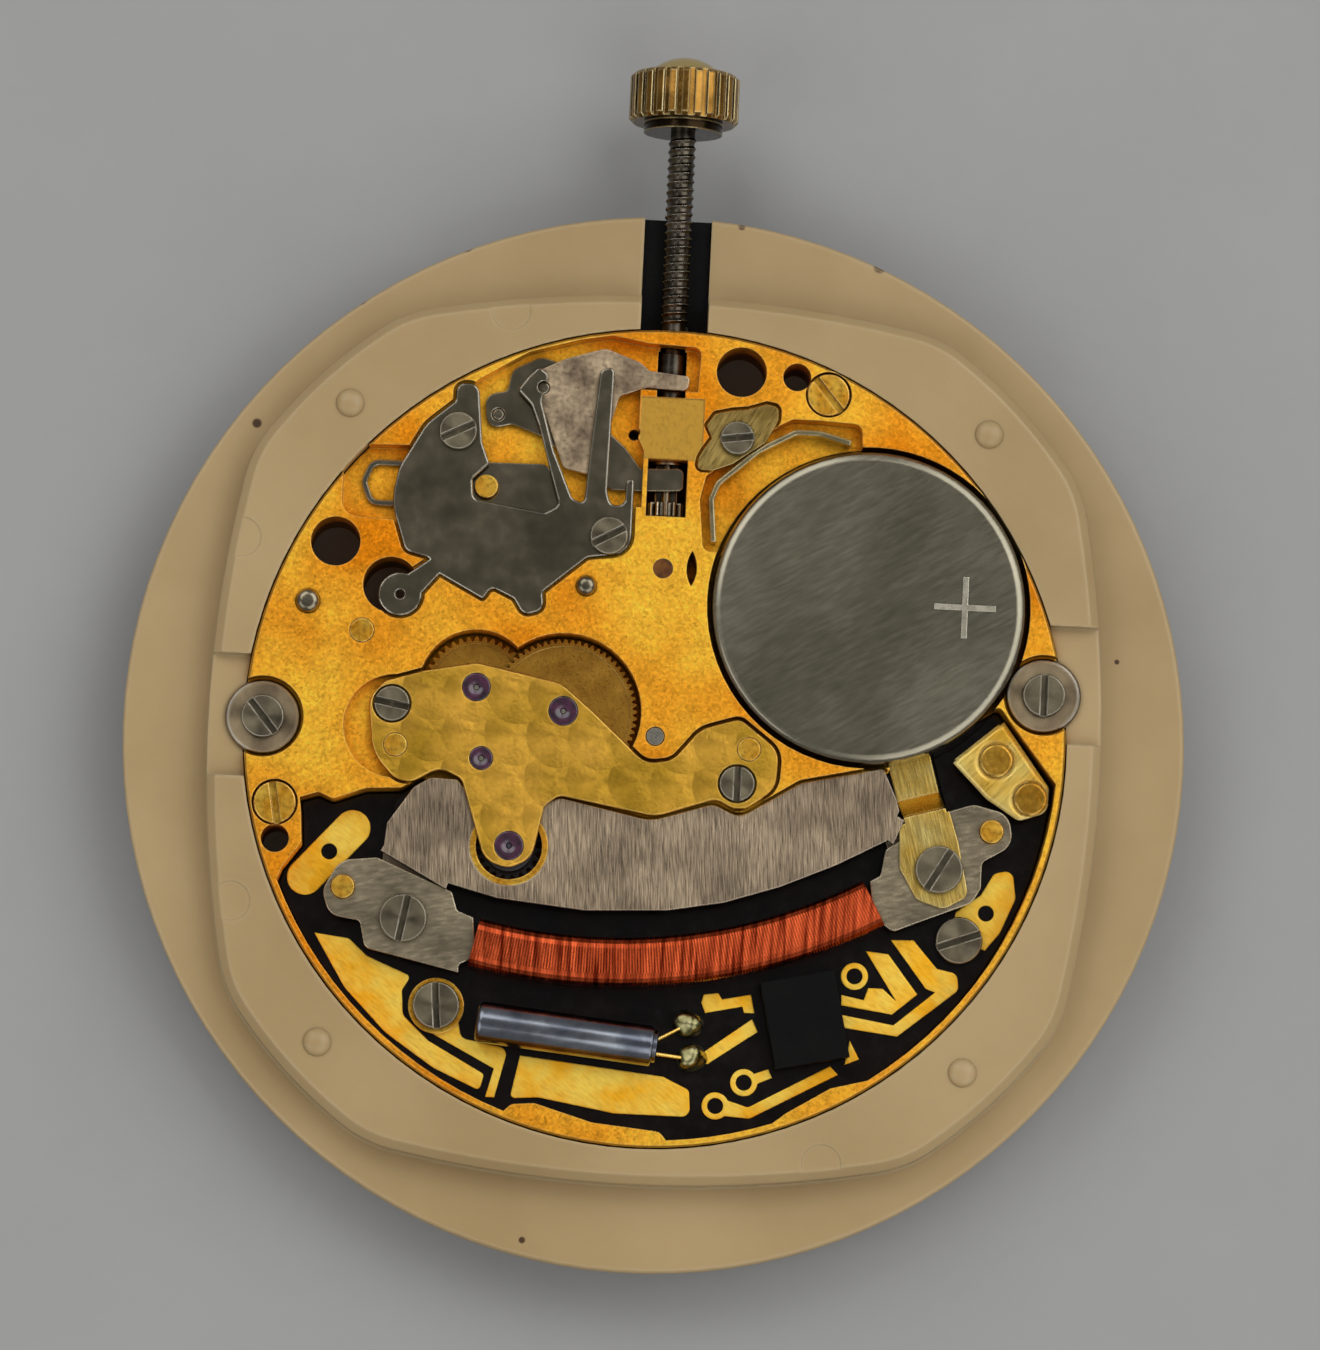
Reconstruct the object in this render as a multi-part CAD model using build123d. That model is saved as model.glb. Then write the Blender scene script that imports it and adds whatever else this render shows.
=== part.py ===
from build123d import *
import math
import os

# Movement and casing ring: the origin is the centre of the movement, on the dial seat. Up is the battery side,
# and the stem points along +Y.
plate_radius = 10.28
plate_height = 2.10
plate_edge_chamfer = 0.06
ring_flange_width = 3.03
ring_flange_height = 1.00
ring_height = 2.05
ring_side_wall = 0.86
ring_side_arc = 31.0
ring_corner_wall = 2.10
ring_corner_blend = 3.20
ring_edge_chamfer = 0.22
ring_slot_width = 1.70
ring_notch_floor = 1.74
ring_pip_radius = 0.30
ring_pip_height = 0.12
ring_pip_chamfer = 0.08
ring_mark_radius = 0.50
ring_mark_depth = 0.02
strip_height = 0.80

# Clearances shared by all pieces
overrun = 0.30
seat_gap = 0.04
recess_gap = 0.07
running_gap = 0.02
thread_gap = 0.01

# Places on the plate, as shares of its radius
ring_notch_left_shares = (-0.145, 0.155)
ring_notch_right_shares = (0.03, 0.32)
ring_pip_turns = (45, 135, 225, 315)
ring_mark_shares = [(-0.40, 1.03), (-1.03, 0.44), (-1.01, -0.45), (0.45, -1.02)]
rotor_share = (-0.342, -0.283)
intermediate_share = (-0.420, -0.073)
second_share = (-0.440, 0.100)
third_share = (-0.226, 0.052)
setting_share = (0.0, 0.412)
cell_share = (0.506, 0.341)
lever_pivot_share = (-0.312, 0.845)
yoke_pivot_share = (-0.420, 0.777)
hole_shares = [(0.17, 0.905), (-0.80, 0.44), (-0.66, 0.34), (-0.085, 0.745)]
dial_foot_hole_shares = [(0.306, 0.899), (-0.910, -0.293)]
flush_pin_share = (-0.725, 0.225)

# Plate: levels, holes and pockets
train_floor = 0.95
well_floor = 0.55
well_rim_wall = 0.18
stem_level = 1.25
keyless_floor = 1.50
spring_floor = 1.40
hole_radii = (0.63, 0.62, 0.70, 0.14)
dial_foot_hole_radius = 0.35
window_half_width = 0.50
window_reach = 0.40
stem_panel_share = (0.006, 0.757)
stem_panel_size = (1.58, 1.56)
stem_panel_depth = 0.03
lens_slot_size = (0.26, 0.90)
lens_slot_share = (0.07, 0.415)
bridge_crescent_share = (-0.632, -0.005)
bridge_crescent_radius = 1.30

# Train bridge
bridge_drop = 0.08
bridge_thickness = 0.36
finger_thickness = 0.13

# Going train: teeth, and the levels of wheels and pinions
rotor_teeth = 20
intermediate_teeth = 40
intermediate_pinion_teeth = 15
second_teeth = 40
second_pinion_teeth = 16
third_teeth = 66
third_pinion_teeth = 11
centre_teeth = 60
wheel_thickness = 0.11
intermediate_level = 1.05
second_level = 1.25
third_level = 1.44
pinion_height = 0.20
arbor_radius = 0.13
pivot_radius = 0.06
web_depth = 0.03
web_rim = 0.14
recess_room = 0.14
centre_recess_room = 0.10
rotor_pinion_level = 1.01
rotor_magnet_radius = 0.62
rotor_magnet_level = 1.30
rotor_magnet_height = 0.50
rotor_recess_radius = 1.00
sleeve_radius = 0.985
sleeve_wall = 0.155
sleeve_low = 1.45
boss_wall = 0.22

# Tooth form, as shares of the module and of the tooth step
addendum_share = 0.75
dedendum_share = 1.05
tooth_root_share = 0.36
tooth_tip_share = 0.14

# Longest rounding of an outline's corner, as a share of its shorter side
corner_reach_share = 0.49

# Jewels
jewel_thickness = 0.25
rotor_jewel_radius = 0.37
intermediate_jewel_radius = 0.30
second_jewel_radius = 0.36
third_jewel_radius = 0.375
jewel_cup_radius = 0.16
jewel_cup_depth = 0.06
setting_jewel_radius = 0.25
setting_jewel_thickness = 0.30

# Motion works on the dial side
cannon_teeth = 12
minute_teeth = 36
minute_pinion_teeth = 10
hour_teeth = 40
setting_teeth = 22
minute_distance = 2.40
cover_thickness = 0.15
motion_gap = 0.03
hour_wheel_thickness = 0.15
hour_pipe_radius = 0.65
hour_pipe_length = 0.95
hour_hub_radius = 0.84
cannon_pipe_radius = 0.49
cannon_pipe_length = 1.35
minute_hand_seat_radius = 0.33
minute_hand_seat_length = 0.36
cannon_tooth_height = 0.16
centre_wheel_level = 0.56
centre_arbor_radius = 0.22
centre_post_radius = 0.15
centre_pocket_top = 0.75
minute_post_radius = 0.16
setting_wheel_top = 0.84
setting_arbor_radius = 0.12
setting_arbor_top = 1.75
third_passage_radius = 0.47
cover_centre_wall = 0.60
cover_ear_radius = 0.55
cover_ear_shares = [(-0.185, -0.215), (0.385, 0.135), (-0.170, 0.420)]
cover_screw_radius = 0.33
cover_screw_head = 0.09
cover_screw_length = 0.45
cover_slot_turn = 35
cover_third_radius = 0.70

# Magnetic circuit
stator_thickness = 0.25
stator_drop = 0.25
core_thickness = 0.22
core_drop = 0.38
core_band_width = 0.60
coil_width = 1.25
coil_height = 0.90
coil_edge_chamfer = 0.25
coil_end_gap = 0.02
coil_left_share = (-0.415, -0.520)
coil_middle_share = (0.067, -0.540)
coil_right_share = (0.549, -0.378)

# Circuit
board_top = 1.00
track_thickness = 0.05
post_radius = 0.42
chip_share = (0.397, -0.668)
chip_size = (1.88, 2.20)
chip_turn = 12.5
chip_height = 0.55
crystal_radius = 0.52
crystal_edge_radius = 0.10
crystal_left_share = (-0.400, -0.710)
crystal_right_share = (0.030, -0.750)
crystal_base_length = 0.10
lead_radius = 0.05
lead_spread = 0.18
solder_shares = [(0.115, -0.690), (0.125, -0.775)]
solder_radius = 0.30
board_post_shares = [(-0.585, -0.205), (0.480, -0.200), (0.050, -0.370)]

# Button cell
cell_radius = 3.95
cell_height = 1.29
cell_rise = 0.14
cell_gap = 0.11
cell_edge_radius = 0.22
cell_low_edge_radius = 0.11
cap_radius = 3.20
cap_height = 0.30
cap_edge_radius = 0.10
gasket_wall = 0.22
can_lift = 0.10

# Contacts and battery clamp
clamp_thickness = 0.14
clamp_drop = 0.10
spring_thickness = 0.13
spring_drop = 0.12
contact_thickness = 0.09
contact_width = 1.08
contact_turn = 16.0
contact_middle_share = (0.650, -0.100)
tongue_length = 2.10
ramp_run = 0.52
ramp_overlap = 0.55
tongue_gap = 0.02
block_top = 1.72
block_thickness = 0.14
rivet_radius = 0.42
rivet_rise = 0.06
rivet_shares = [(0.835, -0.015), (0.922, -0.105)]
skirt_share = (0.790, 0.024)
skirt_length = 1.40
skirt_turn = 41.0
skirt_height = 0.45

# Keyless works
jumper_thickness = 0.15
jumper_drop = 0.02
jumper_edge_chamfer = 0.03
lever_thickness = 0.20
yoke_thickness = 0.15
sheet_gap = 0.02
lever_pin_radius = 0.14
yoke_spring_width = 0.13
yoke_pin_room = 0.12
arm_disc_share = (-0.637, 0.318)
arm_disc_radius = 0.55
arm_hole_radius = 0.12

# Stem, clutch and crown; the lengths run along the stem
crown_travel = 0.45
stem_radius = 0.36
stem_neck_radius = 0.295
stem_groove_radius = 0.20
stem_groove_width = 0.36
stem_groove_inset = 1.31
stem_square = 0.48
stem_square_gap = 0.08
stem_collar_length = 0.42
stem_pilot_radius = 0.17
stem_pilot_length = 0.60
stem_neck_inset = 0.53
stem_thread_gap = 0.07
stem_thread_radius = 0.31
lever_peg_radius = 0.11
clutch_radius = 0.46
clutch_share = 0.628
clutch_tooth_length = 0.36
clutch_groove_length = 0.95
clutch_collar_length = 0.52
clutch_groove_radius = 0.28
clutch_teeth = 12
clutch_inner_room = 0.32
clutch_outer_room = 0.15
crown_gap = 2.10
crown_radius = 1.39
crown_skirt_radius = 1.00
crown_skirt_length = 0.25
crown_band_length = 1.25
crown_dome_radius = 0.95
crown_dome_height = 0.45
crown_flutes = 26
crown_flute_width = 0.15
crown_flute_depth = 0.085
crown_edge_chamfer = 0.10

# Fasteners and pins
shank_radius = 0.22
slot_width = 0.17
slot_depth = 0.12
screw_edge_chamfer = 0.03
shank_floor = 0.22
jumper_head_radius = 0.48
jumper_head_height = 0.17
bridge_head_radius = 0.45
bridge_head_height = 0.18
bridge_head_rise = 0.02
coil_head_radius = 0.60
coil_head_height = 0.20
circuit_head_radius = 0.59
circuit_head_height = 0.24
collar_radius = 0.70
collar_height = 0.16
clamp_head_radius = 0.43
clamp_head_height = 0.17
foot_head_radius = 0.54
foot_head_height = 0.26
foot_head_drop = 0.04
casing_head_radius = 0.54
casing_head_height = 0.24
washer_radius = 0.95
washer_height = 0.18
washer_edge_chamfer = 0.07
jumper_screw_shares = [(-0.515, 0.725), (-0.135, 0.485)]
bridge_screw_shares = [(-0.643, 0.050), (0.205, -0.105)]
coil_screw_shares = [(-0.590, -0.470), (0.705, -0.290)]
circuit_screw_shares = [(-0.500, -0.675), (0.765, -0.455)]
clamp_screw_share = (0.167, 0.742)
foot_screw_shares = [(0.385, 0.860), (-0.915, -0.205)]
casing_screw_shares = [(-0.955, 0.003), (0.942, 0.147)]
jumper_slot_turns = (27, 29)
bridge_slot_turns = (-10, 90)
coil_slot_turns = (80, 60)
circuit_slot_turns = (95, 20)
clamp_slot_turn = 8
foot_slot_turns = (-50, 100)
casing_slot_turns = (-50, 90)
pin_rise = 0.02
bridge_pin_shares = [(-0.630, -0.050), (0.230, -0.020)]
bridge_pin_radius = 0.29
jumper_pin_share = (-0.440, 0.595)
jumper_pin_radius = 0.29
coil_pin_shares = [(-0.740, -0.400), (0.830, -0.190)]
coil_pin_radius = 0.29
coil_pin_rise = 0.10
steel_pin_shares = [(-0.185, 0.360), (-0.860, 0.290)]
steel_pin_radii = (0.25, 0.30)
steel_pin_rise = 0.10
steel_pin_depth = 0.70
steel_pin_dome = 0.10

# Straight steps that a turned rounding is made of
rim_steps = 3

# Outlines: rows of x, y and corner radius, all as shares of the plate's radius
bridge_outline_shares = [
    (-0.700, 0.055, 0.035), (-0.665, 0.105, 0.035), (-0.570, 0.135, 0.025), (-0.440, 0.160, 0.050),
    (-0.235, 0.120, 0.075), (-0.155, 0.055, 0.075), (-0.020, -0.065, 0.055), (0.045, -0.055, 0.055),
    (0.110, 0.025, 0.075), (0.205, 0.055, 0.030), (0.305, -0.020, 0.060), (0.300, -0.115, 0.060),
    (0.215, -0.175, 0.050), (0.155, -0.145, 0.040), (0.010, -0.195, 0.100), (-0.225, -0.155, 0.030),
    (-0.260, -0.180, 0.025), (-0.285, -0.310, 0.055), (-0.340, -0.340, 0.050), (-0.400, -0.320, 0.055),
    (-0.465, -0.125, 0.030), (-0.520, -0.100, 0.050), (-0.610, -0.155, 0.055), (-0.685, -0.070, 0.100),
]
finger_zone_shares = [
    (-0.455, -0.135, 0.0), (-0.235, -0.135, 0.0), (-0.235, -0.400, 0.0), (-0.455, -0.400, 0.0),
]
stator_outline_shares = [
    (-0.640, -0.240, 0.0), (-0.580, -0.150, 0.030), (-0.540, -0.125, 0.025), (-0.475, -0.127, 0.010),
    (-0.460, -0.145, 0.010), (-0.255, -0.172, 0.015), (-0.220, -0.160, 0.025), (0.000, -0.205, 0.100),
    (0.150, -0.157, 0.040), (0.215, -0.188, 0.050), (0.305, -0.130, 0.040), (0.360, -0.095, 0.050),
    (0.560, -0.050, 0.010), (0.605, -0.145, 0.010), (0.575, -0.225, 0.0), (0.455, -0.290, 0.075),
    (0.320, -0.350, 0.075), (0.185, -0.395, 0.075), (0.050, -0.420, 0.075), (-0.150, -0.430, 0.075),
    (-0.365, -0.410, 0.075), (-0.485, -0.380, 0.010), (-0.645, -0.295, 0.0),
]
stator_left_fold_shares = [
    (-0.645, -0.295, 0.0), (-0.485, -0.380, 0.0), (-0.490, -0.394, 0.0), (-0.652, -0.308, 0.0),
]
stator_left_foot_shares = [
    (-0.645, -0.297, 0.0), (-0.487, -0.381, 0.0), (-0.500, -0.520, 0.020), (-0.660, -0.500, 0.020),
]
stator_right_fold_shares = [
    (0.565, -0.215, 0.0), (0.588, -0.160, 0.0), (0.616, -0.172, 0.0), (0.592, -0.232, 0.0),
]
stator_right_foot_shares = [
    (0.575, -0.225, 0.0), (0.600, -0.190, 0.0), (0.720, -0.220, 0.020), (0.740, -0.340, 0.020),
    (0.620, -0.380, 0.020),
]
core_left_shares = [
    (-0.790, -0.410, 0.045), (-0.750, -0.335, 0.055), (-0.660, -0.325, 0.020), (-0.475, -0.400, 0.0),
    (-0.460, -0.445, 0.012), (-0.420, -0.460, 0.0), (-0.410, -0.555, 0.0), (-0.450, -0.575, 0.012),
    (-0.450, -0.595, 0.0), (-0.680, -0.545, 0.020), (-0.695, -0.480, 0.015), (-0.770, -0.470, 0.040),
]
core_right_shares = [
    (0.540, -0.325, 0.0), (0.565, -0.310, 0.012), (0.575, -0.245, 0.015), (0.725, -0.145, 0.015),
    (0.785, -0.125, 0.040), (0.870, -0.145, 0.045), (0.885, -0.220, 0.045), (0.810, -0.265, 0.020),
    (0.810, -0.330, 0.020), (0.790, -0.365, 0.030), (0.600, -0.445, 0.020), (0.565, -0.420, 0.012),
    (0.555, -0.430, 0.0),
]
contact_foot_shares = [
    (0.605, -0.185, 0.0), (0.725, -0.145, 0.0), (0.750, -0.220, 0.015), (0.780, -0.350, 0.025),
    (0.720, -0.385, 0.035), (0.655, -0.365, 0.025), (0.610, -0.290, 0.025),
]
contact_block_shares = [
    (0.730, -0.025, 0.0), (0.850, 0.080, 0.0), (0.965, -0.075, 0.015), (0.965, -0.135, 0.030),
    (0.895, -0.160, 0.025), (0.815, -0.110, 0.010),
]
well_outline_shares = [
    (-0.855, -0.190, 0.0), (-0.810, -0.175, 0.015), (-0.775, -0.190, 0.015), (-0.695, -0.160, 0.015),
    (-0.610, -0.155, 0.025), (-0.545, -0.110, 0.025), (-0.480, -0.150, 0.020), (-0.220, -0.190, 0.025),
    (0.000, -0.235, 0.050), (0.300, -0.175, 0.025), (0.355, -0.125, 0.025), (0.550, -0.080, 0.0),
    (0.570, -0.055, 0.0), (0.835, 0.115, 0.015), (0.870, 0.070, 0.015), (0.985, -0.075, 0.0),
    (1.000, -0.400, 0.0), (0.800, -0.700, 0.020), (0.600, -0.800, 0.020), (0.465, -0.835, 0.025),
    (0.360, -0.900, 0.025), (0.310, -0.940, 0.030), (0.250, -1.000, 0.0), (0.090, -1.000, 0.0),
    (0.055, -0.960, 0.025), (-0.110, -0.945, 0.050), (-0.250, -0.905, 0.035), (-0.305, -0.910, 0.020),
    (-0.360, -0.960, 0.0), (-0.700, -0.720, 0.020), (-0.900, -0.500, 0.020), (-0.905, -0.405, 0.0),
    (-0.890, -0.362, 0.0), (-0.845, -0.300, 0.0), (-0.850, -0.225, 0.0),
]
battery_clamp_shares = [
    (0.085, 0.710, 0.015), (0.105, 0.740, 0.005), (0.090, 0.770, 0.005), (0.110, 0.800, 0.012),
    (0.150, 0.810, 0.007), (0.190, 0.815, 0.007), (0.235, 0.830, 0.005), (0.265, 0.825, 0.015),
    (0.265, 0.790, 0.020), (0.235, 0.735, 0.012), (0.160, 0.680, 0.007), (0.110, 0.660, 0.015),
    (0.070, 0.660, 0.015), (0.075, 0.690, 0.010),
]
battery_spring_shares = [
    (0.445, 0.745), (0.370, 0.765), (0.310, 0.765), (0.220, 0.715), (0.125, 0.630), (0.110, 0.590),
    (0.120, 0.485),
]
spring_recess_shares = [
    (0.470, 0.790, 0.020), (0.370, 0.795, 0.020), (0.300, 0.795, 0.020), (0.200, 0.740, 0.020),
    (0.095, 0.645, 0.020), (0.082, 0.585, 0.020), (0.095, 0.460, 0.020), (0.250, 0.450, 0.020),
    (0.480, 0.650, 0.020),
]
jumper_outline_shares = [
    (-0.525, 0.800, 0.012), (-0.525, 0.845, 0.024), (-0.470, 0.845, 0.026), (-0.455, 0.700, 0.050),
    (-0.435, 0.650, 0.007), (-0.475, 0.610, 0.015), (-0.470, 0.560, 0.018), (-0.295, 0.535, 0.015),
    (-0.260, 0.555, 0.017), (-0.285, 0.635, 0.075), (-0.320, 0.750, 0.050), (-0.340, 0.800, 0.030),
    (-0.375, 0.835, 0.010), (-0.350, 0.870, 0.012), (-0.325, 0.895, 0.012), (-0.300, 0.875, 0.012),
    (-0.315, 0.810, 0.020), (-0.280, 0.690, 0.050), (-0.230, 0.575, 0.017), (-0.200, 0.560, 0.017),
    (-0.195, 0.640, 0.050), (-0.175, 0.895, 0.017), (-0.140, 0.905, 0.017), (-0.145, 0.595, 0.050),
    (-0.135, 0.560, 0.018), (-0.100, 0.565, 0.018), (-0.100, 0.625, 0.010), (-0.080, 0.630, 0.009),
    (-0.080, 0.445, 0.050), (-0.185, 0.430, 0.025), (-0.290, 0.340, 0.012), (-0.285, 0.295, 0.025),
    (-0.335, 0.280, 0.025), (-0.360, 0.320, 0.018), (-0.415, 0.345, 0.015), (-0.435, 0.315, 0.005),
    (-0.560, 0.380, 0.007), (-0.570, 0.410, 0.015), (-0.630, 0.425, 0.025), (-0.670, 0.545, 0.150),
    (-0.655, 0.630, 0.120), (-0.595, 0.740, 0.100),
]
jumper_arm_shares = [
    (-0.660, 0.340, 0.0), (-0.560, 0.415, 0.0), (-0.540, 0.375, 0.0), (-0.615, 0.285, 0.0),
]
lever_outline_shares = [
    (-0.350, 0.875, 0.012), (-0.260, 0.920, 0.025), (-0.165, 0.950, 0.035), (-0.080, 0.920, 0.012),
    (-0.055, 0.900, 0.007), (0.045, 0.890, 0.010), (0.040, 0.855, 0.015), (-0.060, 0.858, 0.010),
    (-0.125, 0.835, 0.015), (-0.180, 0.635, 0.018), (-0.255, 0.650, 0.018), (-0.305, 0.780, 0.050),
]
yoke_outline_shares = [
    (-0.320, 0.925, 0.035), (-0.270, 0.910, 0.025), (-0.170, 0.765, 0.050), (-0.105, 0.710, 0.010),
    (-0.065, 0.660, 0.010), (0.040, 0.665, 0.015), (0.040, 0.610, 0.012), (-0.060, 0.605, 0.010),
    (-0.135, 0.605, 0.015), (-0.315, 0.730, 0.025), (-0.385, 0.755, 0.025), (-0.445, 0.740, 0.030),
    (-0.455, 0.825, 0.030), (-0.400, 0.835, 0.015), (-0.390, 0.890, 0.030),
]
yoke_spring_plate_shares = [
    (-0.600, 0.655, 0.010), (-0.300, 0.660, 0.020), (-0.240, 0.600, 0.020), (-0.260, 0.520, 0.020),
    (-0.600, 0.535, 0.010),
]
yoke_spring_loop_shares = [
    (-0.590, 0.645), (-0.720, 0.645), (-0.740, 0.595), (-0.720, 0.545), (-0.590, 0.545),
]
keyless_recess_shares = [
    (-0.790, 0.680, 0.040), (-0.790, 0.505, 0.040), (-0.250, 0.480, 0.030), (-0.170, 0.560, 0.020),
    (-0.060, 0.560, 0.0), (-0.060, 0.700, 0.0), (-0.075, 0.730, 0.0), (-0.075, 0.850, 0.0),
    (0.065, 0.850, 0.0), (0.070, 0.960, 0.020), (-0.060, 0.965, 0.020), (-0.150, 0.980, 0.020),
    (-0.230, 0.965, 0.020), (-0.350, 0.930, 0.020), (-0.400, 0.900, 0.020), (-0.480, 0.850, 0.020),
    (-0.480, 0.690, 0.020),
]
track_outline_shares = [
    [(-0.805, -0.510, 0.0), (-0.720, -0.520, 0.015), (-0.675, -0.560, 0.015), (-0.565, -0.605, 0.010),
     (-0.585, -0.640, 0.020), (-0.580, -0.700, 0.025), (-0.515, -0.760, 0.020), (-0.375, -0.835, 0.010),
     (-0.385, -0.875, 0.010), (-0.500, -0.825, 0.100), (-0.620, -0.745, 0.100), (-0.725, -0.640, 0.100)],
    [(-0.545, -0.620, 0.020), (-0.465, -0.620, 0.020), (-0.435, -0.750, 0.020), (-0.320, -0.770, 0.020),
     (-0.348, -0.890, 0.0), (-0.370, -0.890, 0.0), (-0.352, -0.820, 0.0), (-0.520, -0.735, 0.020),
     (-0.555, -0.700, 0.020)],
    [(-0.290, -0.785, 0.0), (0.060, -0.820, 0.025), (0.125, -0.850, 0.015), (0.130, -0.915, 0.020),
     (-0.055, -0.915, 0.050), (-0.240, -0.885, 0.050), (-0.310, -0.890, 0.010)],
    [(0.190, -0.862, 0.0), (0.270, -0.885, 0.015), (0.465, -0.775, 0.0), (0.485, -0.795, 0.0),
     (0.275, -0.912, 0.015), (0.200, -0.908, 0.010)],
    [(0.255, -0.812, 0.0), (0.315, -0.790, 0.0), (0.325, -0.810, 0.0), (0.265, -0.838, 0.0)],
    [(0.145, -0.635, 0.0), (0.150, -0.615, 0.0), (0.185, -0.610, 0.0), (0.195, -0.625, 0.0),
     (0.265, -0.610, 0.0), (0.275, -0.655, 0.0), (0.250, -0.655, 0.0), (0.245, -0.640, 0.0),
     (0.155, -0.660, 0.0)],
    [(0.150, -0.760, 0.0), (0.270, -0.670, 0.0), (0.285, -0.700, 0.0), (0.165, -0.785, 0.0)],
    [(0.485, -0.600, 0.0), (0.540, -0.610, 0.0), (0.550, -0.580, 0.0), (0.585, -0.580, 0.0),
     (0.620, -0.610, 0.0), (0.540, -0.490, 0.0), (0.595, -0.495, 0.0), (0.670, -0.590, 0.0),
     (0.610, -0.642, 0.0), (0.485, -0.625, 0.0)],
    [(0.485, -0.648, 0.0), (0.615, -0.668, 0.0), (0.713, -0.583, 0.0), (0.690, -0.575, 0.0),
     (0.600, -0.460, 0.0), (0.655, -0.458, 0.0), (0.715, -0.525, 0.0), (0.765, -0.535, 0.020),
     (0.770, -0.575, 0.020), (0.625, -0.695, 0.0), (0.495, -0.680, 0.0)],
    [(0.845, -0.285, 0.020), (0.890, -0.275, 0.020), (0.900, -0.345, 0.025), (0.865, -0.430, 0.050),
     (0.830, -0.475, 0.0), (0.745, -0.440, 0.0), (0.755, -0.385, 0.0), (0.815, -0.340, 0.020)],
    [(0.510, -0.710, 0.0), (0.535, -0.755, 0.0), (0.500, -0.770, 0.0)],
]
left_pad_shares = [(-0.725, -0.250), (-0.835, -0.375)]
left_pad_radius = 0.45
ring_pad_shares = [(0.190, -0.885), (0.257, -0.825), (0.515, -0.553)]
ring_pad_radius = 0.34
pad_hole_radius = 0.20
pad_hole_shares = [(0.190, -0.885), (0.257, -0.825), (0.515, -0.553), (-0.779, -0.310), (0.829, -0.384)]

# Levels and places that follow from the sizes above
bridge_top = plate_height - bridge_drop
bridge_low = bridge_top - bridge_thickness
stator_top = plate_height - stator_drop
stator_low = stator_top - stator_thickness
core_top = plate_height - core_drop
core_low = core_top - core_thickness
stator_foot_low = core_low - core_thickness
coil_level = (core_low + core_top) / 2
track_top = board_top + track_thickness
cell_low = plate_height + cell_rise - cell_height
cell_top = cell_low + cell_height
clamp_top = plate_height - clamp_drop
clamp_low = clamp_top - clamp_thickness
jumper_top = plate_height - jumper_drop
jumper_low = jumper_top - jumper_thickness
lever_top = jumper_low - sheet_gap
lever_low = lever_top - lever_thickness
yoke_top = lever_low - sheet_gap
yoke_low = yoke_top - yoke_thickness
hour_level = cover_thickness + motion_gap
minute_level = hour_level + hour_wheel_thickness + motion_gap
minute_pocket_top = minute_level + cannon_tooth_height + motion_gap
ring_bore = plate_radius + seat_gap
ring_radius = ring_bore + ring_flange_width
ring_half_width = ring_bore + ring_side_wall
ring_corner_radius = ring_bore + ring_corner_wall
contact_foot_top = core_top + contact_thickness
tongue_top = cell_low - tongue_gap
clutch_groove_start = clutch_share * plate_radius - clutch_groove_length / 2
clutch_groove_end = clutch_groove_start + clutch_groove_length
clutch_start = clutch_groove_start - clutch_tooth_length
clutch_end = clutch_groove_end + clutch_collar_length
clutch_bore_start = clutch_start - clutch_inner_room
clutch_bore_end = clutch_end + clutch_outer_room
stem_square_start = clutch_bore_start + stem_square_gap
stem_pilot_start = stem_square_start - stem_pilot_length
stem_groove_place = plate_radius - stem_groove_inset
stem_square_end = stem_groove_place - stem_collar_length
stem_neck_start = plate_radius - stem_neck_inset
stem_thread_start = plate_radius + stem_thread_gap
crown_start = ring_radius + crown_gap

UPRIGHT = (Align.CENTER, Align.CENTER, Align.MIN)


def place(share):
    """Point of the plate from its shares of the plate's radius."""
    return share[0] * plate_radius, share[1] * plate_radius


def span(first, second):
    """Distance between two points."""
    return math.dist(first, second)


rotor_place = place(rotor_share)
intermediate_place = place(intermediate_share)
second_place = place(second_share)
third_place = place(third_share)
setting_place = place(setting_share)
cell_place = place(cell_share)
lever_pivot = place(lever_pivot_share)
yoke_pivot = place(yoke_pivot_share)
centre = (0, 0)


def pitch_radii(distance, first_teeth, second_teeth_count):
    """Pitch radii of two gears in mesh at a centre distance."""
    both = first_teeth + second_teeth_count
    return distance * first_teeth / both, distance * second_teeth_count / both


rotor_pitch, intermediate_pitch = pitch_radii(
    span(rotor_place, intermediate_place), rotor_teeth, intermediate_teeth)
intermediate_pinion_pitch, second_pitch = pitch_radii(
    span(intermediate_place, second_place), intermediate_pinion_teeth, second_teeth)
second_pinion_pitch, third_pitch = pitch_radii(
    span(second_place, third_place), second_pinion_teeth, third_teeth)
third_pinion_pitch, centre_pitch = pitch_radii(
    span(third_place, centre), third_pinion_teeth, centre_teeth)
cannon_pitch, minute_pitch = pitch_radii(minute_distance, cannon_teeth, minute_teeth)
minute_pinion_pitch, hour_pitch = pitch_radii(minute_distance, minute_pinion_teeth, hour_teeth)


def minute_wheel_place():
    """Where the minute wheel meshes with both the cannon pinion and the setting wheel."""
    reach = minute_pitch + minute_pitch * setting_teeth / minute_teeth
    away = setting_place[1]
    along = (minute_distance**2 - reach**2 + away**2) / (2 * away)
    return math.sqrt(minute_distance**2 - along**2), along


minute_place = minute_wheel_place()
setting_pitch = minute_pitch * setting_teeth / minute_teeth


def disc(middle, radius, low, high):
    """Upright cylinder between two levels."""
    return Pos(middle[0], middle[1], low) * Cylinder(radius, high - low, align=UPRIGHT)


def tube(middle, radius, bore, low, high):
    """Upright tube between two levels."""
    return disc(middle, radius, low, high) - disc(middle, bore, low, high)


def dome(middle, radius, base, height):
    """Round cap of a sphere, standing on a level."""
    sphere_radius = (radius**2 + height**2) / (2 * height)
    sphere = Pos(*middle, base + height - sphere_radius) * Sphere(sphere_radius)
    return sphere & disc(middle, radius, base, base + height)


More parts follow.
